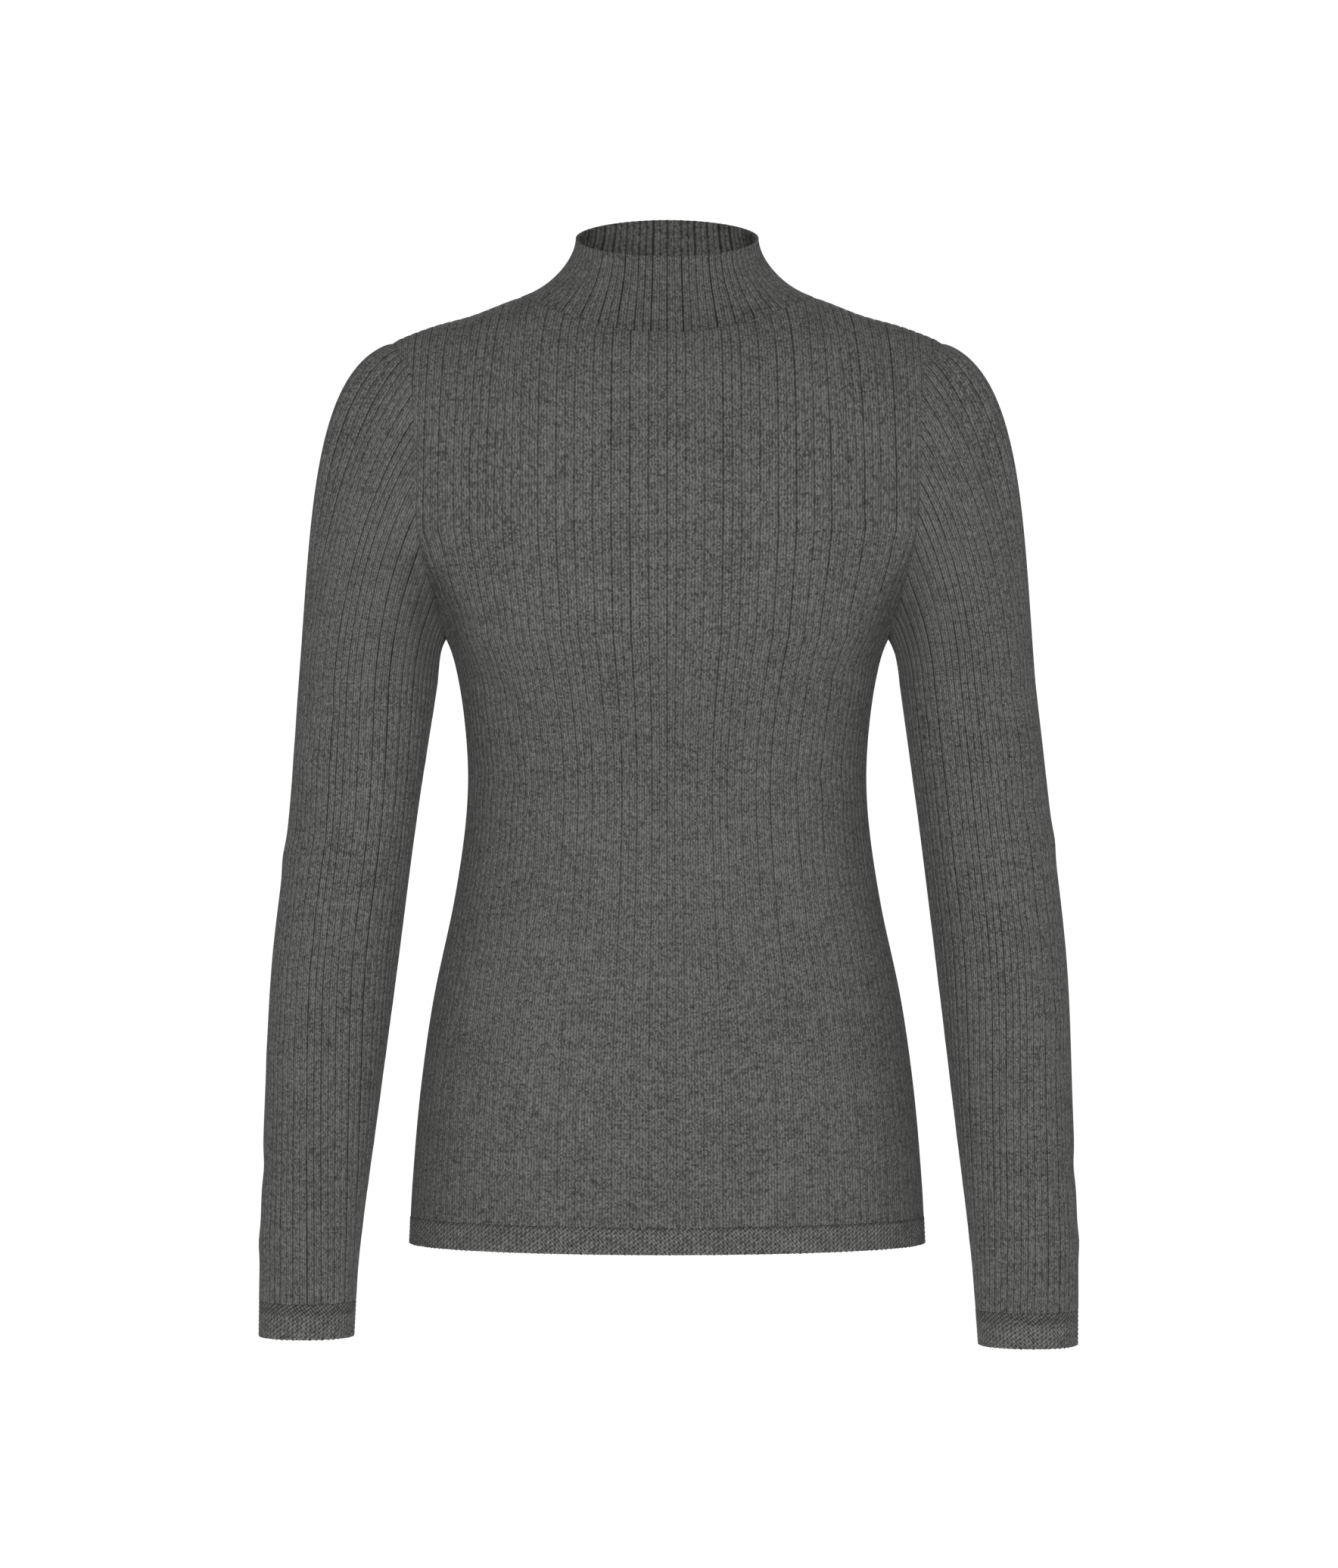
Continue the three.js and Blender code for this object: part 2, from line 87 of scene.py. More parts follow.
def table(names, rows):
    """A table as one array for each named column."""
    values = np.array(rows, dtype=float)
    return {name: values[:, i] for i, name in enumerate(names.split())}


BODY = table("z width front back", [
    (-610, 166.0, 97, 112),
    (-566, 163.7, 100, 112),
    (-507, 158.5, 102, 108),
    (-449, 150.2, 98, 98),
    (-390, 137.6, 91, 88),
    (-343, 130.2, 88, 83),
    (-308, 127.8, 88, 82),
    (-273, 129.6, 95, 87),
    (-240, 134.6, 108, 94),
    (-217, 142.0, 116, 98),
    (-185, 164.0, 119, 102),
    (-150, 190.0, 110, 107),
])
SHOULDER = table("x z", [
    (0, 12), (60, 9), (94, 2.5), (125, -9), (152, -16.6), (177, -26.5), (205, -42)])
ARMHOLE = table("z x", [(-217, 142.3), (-150, 158.5), (-45, 164.5), (-26.5, 177.0)])
UNDERARM_Z = ARMHOLE["z"][0]
TIP_Z, TIP_X = ARMHOLE["z"][-1], ARMHOLE["x"][-1]
NECK = {"half_width": 94.0, FRONT: 70.0, BACK: 42.0, "corner_from": 80.0, "corner_to": 108.0,
        "bend": 6.0}
RIM = {"half_width": 57.5, "half_depth": 50.0, "centre_y": -12.0, "z": 40.5, "rise": 16.7}
COLLAR = {"spread": 0.31, "lean": 50.0, "stand": 50.0, "upright": 0.4, "rib_rise": 1.3}
SLEEVE = {
    "left": table("z x y radius", [
        (-670, 230.3, -36, 31.2), (-610, 228.2, -30, 33.6), (-518, 221.6, -20, 37.6),
        (-425, 214.7, -10, 41.4), (-332, 204.1, -4, 42.1), (-245, 193.4, 0, 43.2)]),
    "right": table("z x y radius", [
        (-670, 230.4, -36, 29.7), (-610, 228.3, -30, 31.2), (-518, 221.4, -20, 35.9),
        (-425, 213.4, -10, 39.9), (-332, 202.3, -4, 40.6), (-245, 192.6, 0, 44.2)]),
}
BICEPS_Z = -245.0
SLEEVE_DEPTH = 1.04
CUFF_BOTTOM = {"left": -667.5, "right": -662.0}
CUFF_HEIGHT = 22.0
CAP = {"lean_top": 16.0, "lean_under": 60.0, "leave": 0.73, "arrive": 1.3, "outward": 0.08, "bell": 1.7,
       "even_tip": 0.28}


def hermite(start, start_rate, end, end_rate, t):
    """Cubic from start to end as t goes from 0 to 1, with the rate of change given at each end."""
    t2, t3 = t * t, t * t * t
    return (
        (2 * t3 - 3 * t2 + 1) * start + (t3 - 2 * t2 + t) * start_rate
        + (3 * t2 - 2 * t3) * end + (t3 - t2) * end_rate
    )


def smooth(rows, key, name, at):
    """Value of a table's column on a curve through its rows; the slope at a row is its neighbours'."""
    k, v = rows[key], rows[name]
    slope = np.empty_like(v)
    slope[1:-1] = (v[2:] - v[:-2]) / (k[2:] - k[:-2])
    slope[0] = (v[1] - v[0]) / (k[1] - k[0])
    slope[-1] = (v[-1] - v[-2]) / (k[-1] - k[-2])
    i = np.clip(np.searchsorted(k, at) - 1, 0, len(k) - 2)
    span = k[i + 1] - k[i]
    return hermite(v[i], slope[i] * span, v[i + 1], slope[i + 1] * span, (at - k[i]) / span)


def shoulder_z(x):
    """Height of the shoulder line, the same on both sides of the neck."""
    return smooth(SHOULDER, "x", "z", np.abs(x))


def armhole_x(z):
    """How far out the armhole seam is at a height; beyond its ends it stays where it ends."""
    return smooth(ARMHOLE, "z", "x", np.clip(z, UNDERARM_Z, TIP_Z))


print("ribs round the body:", 2 * RIBS["panel"])

# %% [markdown]
# The body's form
#
# Below the chest line each level of the body is an ellipse, deeper in front at the bust and behind at
# the hips. Above it the same ellipse shrinks as a quarter circle does, so the front and the back curve
# over and meet on the shoulder line. One formula then gives the cloth and the direction it faces.

# %% Body form
def body_ellipse(z, face):
    """Half width and depth of the body at a height, on the front or the back."""
    height = np.minimum(z, CHEST_LINE)
    width = smooth(BODY, "z", "width", height)
    front = smooth(BODY, "z", "front", height)
    back = smooth(BODY, "z", "back", height)
    return width, np.where(np.asarray(face) < 0, front, back)


def climb_share(x, z):
    """How far a point is up from the chest line to the shoulder line, from 0 to 1."""
    return np.maximum(0, z - CHEST_LINE) / (shoulder_z(x) - CHEST_LINE)


def body_depth(x, z, face):
    """Depth times the root of (1 - (x / width)^2) times (1 - climb^2)."""
    width, depth = body_ellipse(z, face)
    across = np.clip(1 - (x / width) ** 2, 0, None)
    up = np.clip(1 - climb_share(x, z) ** 2, 0, None)
    return depth * np.sqrt(across * up)


def body_field(x, y, z):
    """(y / depth)^2 - (1 - (x / width)^2)(1 - climb^2): zero on the cloth, above zero outside it."""
    width, depth = body_ellipse(z, y)
    return (y / depth) ** 2 - (1 - (x / width) ** 2) * (1 - climb_share(x, z) ** 2)


def unit(vectors):
    """Vectors at length one; one with no length stays so."""
    return vectors / np.maximum(np.linalg.norm(vectors, axis=-1, keepdims=True), 1e-9)


def body_normal(points):
    """Direction in which the body's field grows fastest, from differences 0.4 mm either way."""
    x, y, z = np.moveaxis(points, -1, 0)
    step = 0.4
    slope = np.stack([
        body_field(x + step, y, z) - body_field(x - step, y, z),
        body_field(x, y + step, z) - body_field(x, y - step, z),
        body_field(x, y, z + step) - body_field(x, y, z - step),
    ], axis=-1)
    return unit(slope)


def quarter_ellipse(width, depth, samples=300):
    """Points (width * sin, depth * cos) of a quarter ellipse for each row, and the distance along it."""
    angle = np.linspace(0, math.pi / 2, samples)
    x = width[:, None] * np.sin(angle)
    y = depth[:, None] * np.cos(angle)
    stride = np.hypot(np.diff(x, axis=1), np.diff(y, axis=1))
    travelled = np.concatenate([np.zeros((len(width), 1)), np.cumsum(stride, axis=1)], axis=1)
    return x, y, travelled


def along_ellipse(width, depth, distance):
    """Place at a distance along a quarter ellipse from its middle, for rows of distances."""
    x, y, travelled = quarter_ellipse(width, depth)
    rows = range(len(width))
    return (
        np.stack([np.interp(distance[i], travelled[i], x[i]) for i in rows]),
        np.stack([np.interp(distance[i], travelled[i], y[i]) for i in rows]),
    )


def quarter_length(z, face):
    """Length of a quarter of the body's ellipse at a height, as an array of one."""
    width, depth = body_ellipse(np.atleast_1d(float(z)), face)
    return quarter_ellipse(width, depth)[2][:, -1]


print("hip girth: %.0f mm" % (2 * (quarter_length(-566, FRONT) + quarter_length(-566, BACK))[0]))

# %% [markdown]
# Front and back panels
#
# On a rib knit the columns of stitches run straight up. At the side seam every rib is there, and where
# the armhole is cut into the cloth the outer ribs end. So the grid's columns are ribs, spaced by their
# distance along the cloth, and a column that would pass the armhole stops on it.

# %% Panel below the chest line
def low_panel(position, z, face):
    """Rib position times the length of the ellipse, as a distance along it, stopped at the armhole."""
    width, depth = body_ellipse(z, face)
    pitch_under = quarter_length(UNDERARM_Z, face) / (RIBS["panel"] / 2)
    above = np.clip((z - UNDERARM_Z) / (CHEST_LINE - UNDERARM_Z), 0, 1)
    pitch = pitch_under + above * (CHEST_PITCH - pitch_under)
    full = quarter_ellipse(width, depth)[2][:, -1]
    reach = np.where(z <= UNDERARM_Z, full, pitch * RIBS["panel"] / 2)
    distance = np.abs(position) * reach[:, None]
    x, y = along_ellipse(width, depth, distance)
    limit = np.where(z > UNDERARM_Z, armhole_x(z) - SEAM_GAP / 2, width)[:, None]
    stopped = x > limit
    x = np.minimum(x, limit)
    y = np.where(stopped, body_depth(x, z[:, None], face), y)
    z = np.broadcast_to(z[:, None], x.shape)
    return np.stack([np.sign(position) * x, face * np.maximum(y, SEAM_GAP / 2), z], axis=-1)


print("pitch of the ribs on the chest: %.2f mm" % CHEST_PITCH)

# %% Panel above the chest line
NECK_EASE = {"late": 7, "early": 2, "from": NECK["corner_from"] - 20, "width": 40}
SETTLE_STEPS = 8


def rib_top(chest_x, face):
    """Where a rib ends above, seen from the front: on the neck seam, or on the shoulder seam.

    Ribs run straight up and bend a little inwards at the neck, as the collar's ribs do, and those
    beside the neck's corner crowd round it.
    """
    corner = math.asin((NECK["corner_from"] - NECK["bend"]) / NECK["half_width"])
    past = np.clip((chest_x - NECK["corner_from"]) / (NECK["corner_to"] - NECK["corner_from"]), 0, 1)
    bend = NECK["bend"] * (chest_x / NECK["corner_from"]) ** 2
    straight = np.arcsin(np.clip((chest_x - bend) / NECK["half_width"], 0, 1))
    angle = np.where(past > 0, corner + past * (math.pi / 2 - corner), straight)
    share = (chest_x - NECK["corner_to"]) / (TIP_X - NECK["corner_to"])
    beyond = share > 0
    x = np.where(beyond, NECK["half_width"] + share * (TIP_X - NECK["half_width"]),
                 NECK["half_width"] * np.sin(angle))
    y = np.where(beyond, 0, NECK[face] * np.cos(angle))
    return x, y


def high_panel(position, share, face):
    """Points a share of the way from the chest line over the shoulder to the top seam.

    The climb goes up evenly, as an angle. The way across goes as a power of the share, so that ribs run
    straight up before they bend in. A point past the armhole is set back onto it, and since the height
    moves with it, this is done a few times over.
    """
    width, depth = body_ellipse(np.array([CHEST_LINE]), face)
    distance = np.abs(position)[None, :] * RIBS["panel"] * CHEST_PITCH / 2
    chest_x = along_ellipse(width, depth, distance)[0]
    top_x, top_y = rib_top(chest_x, face)
    top_depth = body_depth(np.minimum(top_x, TIP_X), CHEST_LINE, face)
    climb = share[:, None] * np.arccos(np.clip(top_y / top_depth, 0, 1))
    beside = np.clip((chest_x - NECK_EASE["from"]) / NECK_EASE["width"], 0, 1)
    late = NECK_EASE["late"] - (NECK_EASE["late"] - NECK_EASE["early"]) * beside
    free_x = chest_x + share[:, None] ** late * (top_x - chest_x)
    x = np.minimum(free_x, TIP_X)
    for settle in range(SETTLE_STEPS):
        height = CHEST_LINE + np.sin(climb) * (shoulder_z(x) - CHEST_LINE)
        x = np.minimum(free_x, armhole_x(height) - SEAM_GAP / 2)
    height = CHEST_LINE + np.sin(climb) * (shoulder_z(x) - CHEST_LINE)
    y = body_depth(x, CHEST_LINE, face) * np.cos(climb)
    return np.stack([np.sign(position) * x, face * np.maximum(y, SEAM_GAP / 2), height], axis=-1)


def distance_up(points):
    """Distance along the middle column from the bottom row to each row."""
    middle = points[:, points.shape[1] // 2]
    return np.concatenate([[0], np.cumsum(np.linalg.norm(np.diff(middle, axis=0), axis=1))])


print("shoulder tip: %.0f mm out and %.0f mm down" % (TIP_X, -TIP_Z))

# %% [markdown]
# Ribs
#
# Each rib of this knit is a broad flat welt of three columns of stitches, with a narrow groove beside
# it, and every second groove is shallower. Four columns of points are enough for that: one in the
# groove, two on the shoulders of the welt and one on its crown. A bump map alone would leave the
# outline and the collar's rim smooth.

# %% Rib relief
RIB_STEPS = np.array([0.0, 0.14, 0.5, 0.86])
RIB_HEIGHTS = {"deep": (0.0, 0.92, 1.0, 0.92), "shallow": (0.3, 0.92, 1.0, 0.92)}
RIB_RISE = 0.72
HIP_RIBS = 0.6
RIB_FADE = 4.0
SEAM_FADE = 2.5
SEAM_LEVEL = 0.6
SEAM_KEPT = 0.4


def rib_columns(count):
    """Places of the grid's columns in ribs, and the height of each, from 0 in a deep groove to 1."""
    places = (np.arange(count)[:, None] + RIB_STEPS).ravel()
    pair = np.concatenate([RIB_HEIGHTS["deep"], RIB_HEIGHTS["shallow"]])
    heights = np.tile(pair, count // 2)
    return np.append(places, count), np.append(heights, 0.0)


def level_at_seam(points, row, heights):
    """Rib heights on each row, drawn towards one level within a short distance of a row on a seam."""
    away = np.linalg.norm(points - points[row][None], axis=-1)
    share = np.clip(away / SEAM_FADE, 0, 1)
    return SEAM_LEVEL + (heights - SEAM_LEVEL) * (SEAM_KEPT + (1 - SEAM_KEPT) * share)


def near_seam(points):
    """Distance from each point to its row's ends, where the seams are."""
    first = np.linalg.norm(points - points[:, :1], axis=-1)
    last = np.linalg.norm(points - points[:, -1:], axis=-1)
    return np.minimum(first, last)


print("columns of points across a panel:", len(rib_columns(RIBS["panel"])[0]))

# %% [markdown]
# Creases and the fold at the underarm
#
# Worn knitwear is pulled soft at the waist and the underarms. A cloth simulation could find such folds,
# but these few are known from the picture, so each is given as a soft trough or ridge: a short line on
# the cloth, with a width and a depth that fade out to both ends. At the underarm the cloth is drawn in
# deeper along the seam. One move in space does that to the panel and the sleeve alike, so their edges
# stay together.

# %% Underarm fold
UNDERARM_FOLD = {"depth": 17.0, "width": 13.0, "z": -204.0, "reach": 36.0, "from_plane": 34.0}


def underarm_fold(points):
    """Points drawn inwards along the low part of the armhole seam, on both sides of it alike.

    The move, towards the plane y = 0, is the depth * exp(-(distance from the seam / width)^2) *
    exp(-(height from its middle / reach)^2), and less where the cloth is near that plane.
    """
    x, y, z = np.moveaxis(points, -1, 0)
    from_seam = np.abs(x) - armhole_x(z)
    move = UNDERARM_FOLD["depth"] * np.exp(-(from_seam / UNDERARM_FOLD["width"]) ** 2)
    move = move * np.exp(-((z - UNDERARM_FOLD["z"]) / UNDERARM_FOLD["reach"]) ** 2)
    move = move * np.clip(np.abs(y) / UNDERARM_FOLD["from_plane"], 0, 1)
    return np.stack([x, y - np.sign(y) * move, z], axis=-1)


print("deepest fold at the underarm: %.0f mm" % UNDERARM_FOLD["depth"])

# %% Creases
CREASE_FADE = 22.0
CREASE_ENDS = 1.6


def smooth_share(distance, whole):
    """0 at no distance and 1 from the whole distance on, as 3 t^2 - 2 t^3."""
    t = np.clip(distance / whole, 0, 1)
    return t * t * (3 - 2 * t)


def crease_depth(across, up, creases):
    """Sum over the creases of depth * exp(-(distance from its line / width)^2), fading to its ends."""
    total = np.zeros_like(up)
    for x0, z0, x1, z1, width, depth in creases:
        length = math.hypot(x1 - x0, z1 - z0)
        along = ((across - x0) * (x1 - x0) + (up - z0) * (z1 - z0)) / length
        away = ((across - x0) * (z1 - z0) - (up - z0) * (x1 - x0)) / length
        middle = (along / length - 0.5) * 2
        total += depth * np.exp(-(away / width) ** 2) * np.exp(-(middle ** 4) * CREASE_ENDS)
    return total


BODY_CREASES = {
    FRONT: [
        (-138, -232, -92, -262, 7, -1.8), (-134, -214, -84, -228, 8, 1.3),
        (136, -228, 88, -252, 7, -1.6), (133, -212, 92, -222, 8, 1.2),
        (-124, -300, -70, -318, 8, -1.3), (-122, -322, -66, -334, 9, 1.1),
        (123, -296, 74, -310, 8, -1.2), (122, -318, 70, -326, 9, 1.0),
        (-60, -292, 48, -300, 12, -0.8), (-40, -330, 66, -322, 13, -0.7),
        (-150, -420, -104, -380, 12, 1.0), (148, -428, 108, -392, 12, 1.0),
        (-150, -170, -118, -120, 9, -1.4), (150, -168, 120, -122, 9, -1.3),
    ],
    BACK: [
        (-134, -236, -86, -262, 8, -1.9), (136, -232, 84, -256, 8, -1.8),
        (-118, -292, -40, -304, 9, -1.8), (116, -296, 36, -306, 9, -1.7),
        (-110, -316, -30, -324, 9, 1.4), (108, -318, 34, -330, 9, 1.5),
        (-96, -342, 20, -346, 11, -1.4), (92, -356, -14, -362, 12, -1.1),
        (-146, -176, -112, -118, 10, -1.6), (146, -174, 114, -120, 10, -1.5),
    ],
}
print("creases in front and behind:", len(BODY_CREASES[FRONT]), len(BODY_CREASES[BACK]))

# %% [markdown]
# From points to cloth
#
# Points that fall together, as where ribs stop on a seam, are joined, and triangles that this leaves
# without area are dropped. Edges on a seam are marked sharp, or the shading would bend round the
# wall's rim and draw a dark line there. Solidify then gives the surface its thin wall, inwards.

# %% Seam edges
def edge_keys(pairs, point_count):
    """One whole number for each pair of points, whichever of them comes first."""
    pairs = np.sort(pairs, axis=1).astype(np.int64)
    return pairs[:, 0] * point_count + pairs[:, 1]


def mark_seams(mesh, faces, rim_points):
    """Marks the mesh's outer edges sharp, those that one triangle uses, apart from a free rim's."""
    point_count = len(mesh.vertices)
    sides = np.concatenate([faces[:, [0, 1]], faces[:, [1, 2]], faces[:, [2, 0]]])
    known, uses = np.unique(edge_keys(sides, point_count), return_counts=True)
    edges = np.zeros(len(mesh.edges) * 2, dtype=np.int32)
    mesh.edges.foreach_get("vertices", edges)
    edges = edges.reshape(-1, 2)
    outer = uses[np.searchsorted(known, edge_keys(edges, point_count))] == 1
    on_rim = np.isin(edges, rim_points).all(axis=1)
    sharp = mesh.attributes.new("sharp_edge", "BOOLEAN", "EDGE")
    sharp.data.foreach_set("value", outer & ~on_rim)


# %% Cloth builder
def grid_mesh(name, points, uv, rim=None):
    """A mesh from a grid of points in millimetres (rows, columns, 3) and its map (rows, columns, 2).

    The row named as rim is a free edge of the cloth, which is shaded round; the other edges are seams.
    """
    rows, columns = points.shape[:2]
    unique, joined = np.unique(np.round(points.reshape(-1, 3), 3), axis=0, return_inverse=True)
    joined = joined.reshape(-1)
    index = np.arange(rows * columns).reshape(rows, columns)
    a, b = index[:-1, :-1], index[:-1, 1:]
    c, d = index[1:, 1:], index[1:, :-1]
    halves = [np.stack([a, b, c], axis=-1), np.stack([a, c, d], axis=-1)]
    corners = np.concatenate([half.reshape(-1, 3) for half in halves])
    faces = joined[corners]
    whole = (faces != np.roll(faces, -1, axis=1)).all(axis=1)
    corners, faces = corners[whole], faces[whole]

    mesh = bpy.data.meshes.new(name)
    mesh.vertices.add(len(unique))
    mesh.vertices.foreach_set("co", (unique * MM).ravel())
    mesh.loops.add(faces.size)
    mesh.loops.foreach_set("vertex_index", faces.ravel())
    mesh.polygons.add(len(faces))
    mesh.polygons.foreach_set("loop_start", np.arange(0, faces.size, 3))
    mesh.polygons.foreach_set("use_smooth", np.ones(len(faces), dtype=bool))
    mesh.update(calc_edges=True)
    mark_seams(mesh, faces, joined[index[rim]] if rim is not None else [])
    layer = mesh.uv_layers.new(name="knit")
    layer.data.foreach_set("uv", uv.reshape(-1, 2)[corners.ravel()].ravel())
    return mesh


def add_object(name, data):
    """An object in the scene, at the origin."""
    item = bpy.data.objects.new(name, data)
    bpy.context.scene.collection.objects.link(item)
    return item


def cloth_piece(name, points, uv, material, wall, node, rim=None):
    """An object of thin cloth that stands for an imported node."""
    mesh = grid_mesh(name, points, uv, rim)
    mesh.materials.append(material)
    piece = add_object(name, mesh)
    solidify = piece.modifiers.new("wall", "SOLIDIFY")
    solidify.thickness = wall * MM
    solidify.offset = -1
    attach(piece, "root")
    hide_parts(node)
    print("%s: %d triangles before its wall" % (name, len(mesh.polygons)))


# %% [markdown]
# Yarn colour
#
# A melange yarn is spun from dark and light fibres, so the cloth is never one grey: it has fine specks,
# short streaks along the courses, which run round the body, and slow cloudy changes. The colour reads
# Object coordinates, so it is at the same scale on every piece. In the hollows between the stitches it
# goes towards a shade colour, as painted shade.

# %% Node helpers
def new_group(name, inputs, outputs):
    """A shader node group; returns its tree, the sockets that are given and those of its result."""
    tree = bpy.data.node_groups.new(name, "ShaderNodeTree")
    for label, kind, value in inputs:
        socket = tree.interface.new_socket(label, in_out="INPUT", socket_type=kind)
        socket.default_value = value
    for label, kind in outputs:
        tree.interface.new_socket(label, in_out="OUTPUT", socket_type=kind)
    given = tree.nodes.new("NodeGroupInput").outputs
    result = tree.nodes.new("NodeGroupOutput").inputs
    return tree, given, result


def feed(tree, socket, value):
    """Links another socket, or sets a plain value."""
    if isinstance(value, bpy.types.NodeSocket):
        tree.links.new(value, socket)
    else:
        socket.default_value = value


def maths(tree, operation, *values):
    """The result of a Math node; each value is another socket or a number."""
    node = tree.nodes.new("ShaderNodeMath")
    node.operation = operation
    for socket, value in zip(node.inputs, values):
        feed(tree, socket, value)
    return node.outputs[0]


def noise(tree, vector, scale, detail=3.0, rough=0.6):
    """Noise around zero, about -0.5 to 0.5, at so many features to a metre along each axis."""
    mapping = tree.nodes.new("ShaderNodeMapping")
    mapping.inputs["Scale"].default_value = scale
    tree.links.new(vector, mapping.inputs["Vector"])
    node = tree.nodes.new("ShaderNodeTexNoise")
    node.inputs["Scale"].default_value = 1.0
    node.inputs["Detail"].default_value = detail
    node.inputs["Roughness"].default_value = rough
    tree.links.new(mapping.outputs[0], node.inputs["Vector"])
    return maths(tree, "SUBTRACT", node.outputs[0], 0.5)


def clamp(tree, value):
    """The value, held between 0 and 1."""
    node = tree.nodes.new("ShaderNodeClamp")
    feed(tree, node.inputs[0], value)
    return node.outputs[0]


def object_place(tree):
    """Object coordinates, in metres."""
    return tree.nodes.new("ShaderNodeTexCoord").outputs["Object"]


def mix_colour(tree, share, first, second):
    """The first colour at share 0 and the second at 1; a Mix node's colour sockets are 6, 7 and 2."""
    node = tree.nodes.new("ShaderNodeMix")
    node.data_type = "RGBA"
    feed(tree, node.inputs[0], share)
    feed(tree, node.inputs[6], first)
    feed(tree, node.inputs[7], second)
    return node.outputs[2]


# %% Melange yarn group
def melange_group():
    """Colour of the yarn at a stitch.

    Share of light fibre = 0.5 + stitch noise + streaks + clouds, and the colour then goes towards the
    shade colour in the hollows between stitches, as painted shade.
    """
    tree, given, result = new_group("melange_yarn", [
        ("Stitch cell", "NodeSocketVector", (0, 0, 0)),
        ("Dark fibre", "NodeSocketColor", (0.032, 0.032, 0.0305, 1)),
        ("Light fibre", "NodeSocketColor", (0.24, 0.24, 0.2316, 1)),
        ("Shade", "NodeSocketColor", (0.012, 0.012, 0.011, 1)),
        ("Stitches", "NodeSocketFloat", 0.68),
        ("Streaks", "NodeSocketFloat", 0.5),
        ("Clouds", "NodeSocketFloat", 0.2),
        ("Hollow", "NodeSocketFloat", 0.0),
    ], [("Color", "NodeSocketColor")])
    place = object_place(tree)
    cells = tree.nodes.new("ShaderNodeTexWhiteNoise")
    cells.noise_dimensions = "3D"
    tree.links.new(given["Stitch cell"], cells.inputs["Vector"])
    stitch = maths(tree, "SUBTRACT", cells.outputs["Value"], 0.5)
    streaks = noise(tree, place, (70, 70, 480), detail=3.0)
    clouds = noise(tree, place, (16, 16, 24), detail=2.0)
    blend = maths(tree, "MULTIPLY_ADD", stitch, given["Stitches"], 0.5)
    blend = maths(tree, "MULTIPLY_ADD", streaks, given["Streaks"], blend)
    blend = maths(tree, "MULTIPLY_ADD", clouds, given["Clouds"], blend)
    dark, light = given["Dark fibre"], given["Light fibre"]
    fibre = mix_colour(tree, clamp(tree, blend), dark, light)
    hollow = clamp(tree, given["Hollow"])
    colour = mix_colour(tree, hollow, fibre, given["Shade"])
    tree.links.new(colour, result["Color"])
    return tree


# %% [markdown]
# Stitches
#
# The stitches of the ribs are 2 mm wide and 1.15 mm high, far too many to model, so they are bump and
# colour, with painted shade darkening the hollows between them. The piece's own map counts ribs across
# and millimetres up, which lets the same stitch follow every curve of the cloth. Each rib has three
# columns of V stitches, and a stitch's two legs catch the fibres of the yarn each for itself.

# %% Stitch helpers
def line_mask(tree, value, half_width):
    """1 where the value is whole, falling to 0 at half_width either side of it."""
    shifted = maths(tree, "FRACT", maths(tree, "ADD", value, 0.5))
    away = maths(tree, "ABSOLUTE", maths(tree, "SUBTRACT", shifted, 0.5))
    near = maths(tree, "SUBTRACT", 1.0, maths(tree, "DIVIDE", away, half_width))
    return maths(tree, "MAXIMUM", near, 0.0)


def split_vector(tree, vector):
    """The three parts of a vector, as sockets."""
    parts = tree.nodes.new("ShaderNodeSeparateXYZ")
    tree.links.new(vector, parts.inputs[0])
    return parts.outputs


def random_number(tree, value):
    """A number from 0 to 1 that changes with the value."""
    node = tree.nodes.new("ShaderNodeTexWhiteNoise")
    node.noise_dimensions = "1D"
    tree.links.new(value, node.inputs["W"])
    return node.outputs["Value"]


def join_cell(tree, across, up):
    """A vector that is the same all over one cell."""
    node = tree.nodes.new("ShaderNodeCombineXYZ")
    tree.links.new(maths(tree, "FLOOR", across), node.inputs[0])
    tree.links.new(maths(tree, "FLOOR", up), node.inputs[1])
    return node.outputs[0]


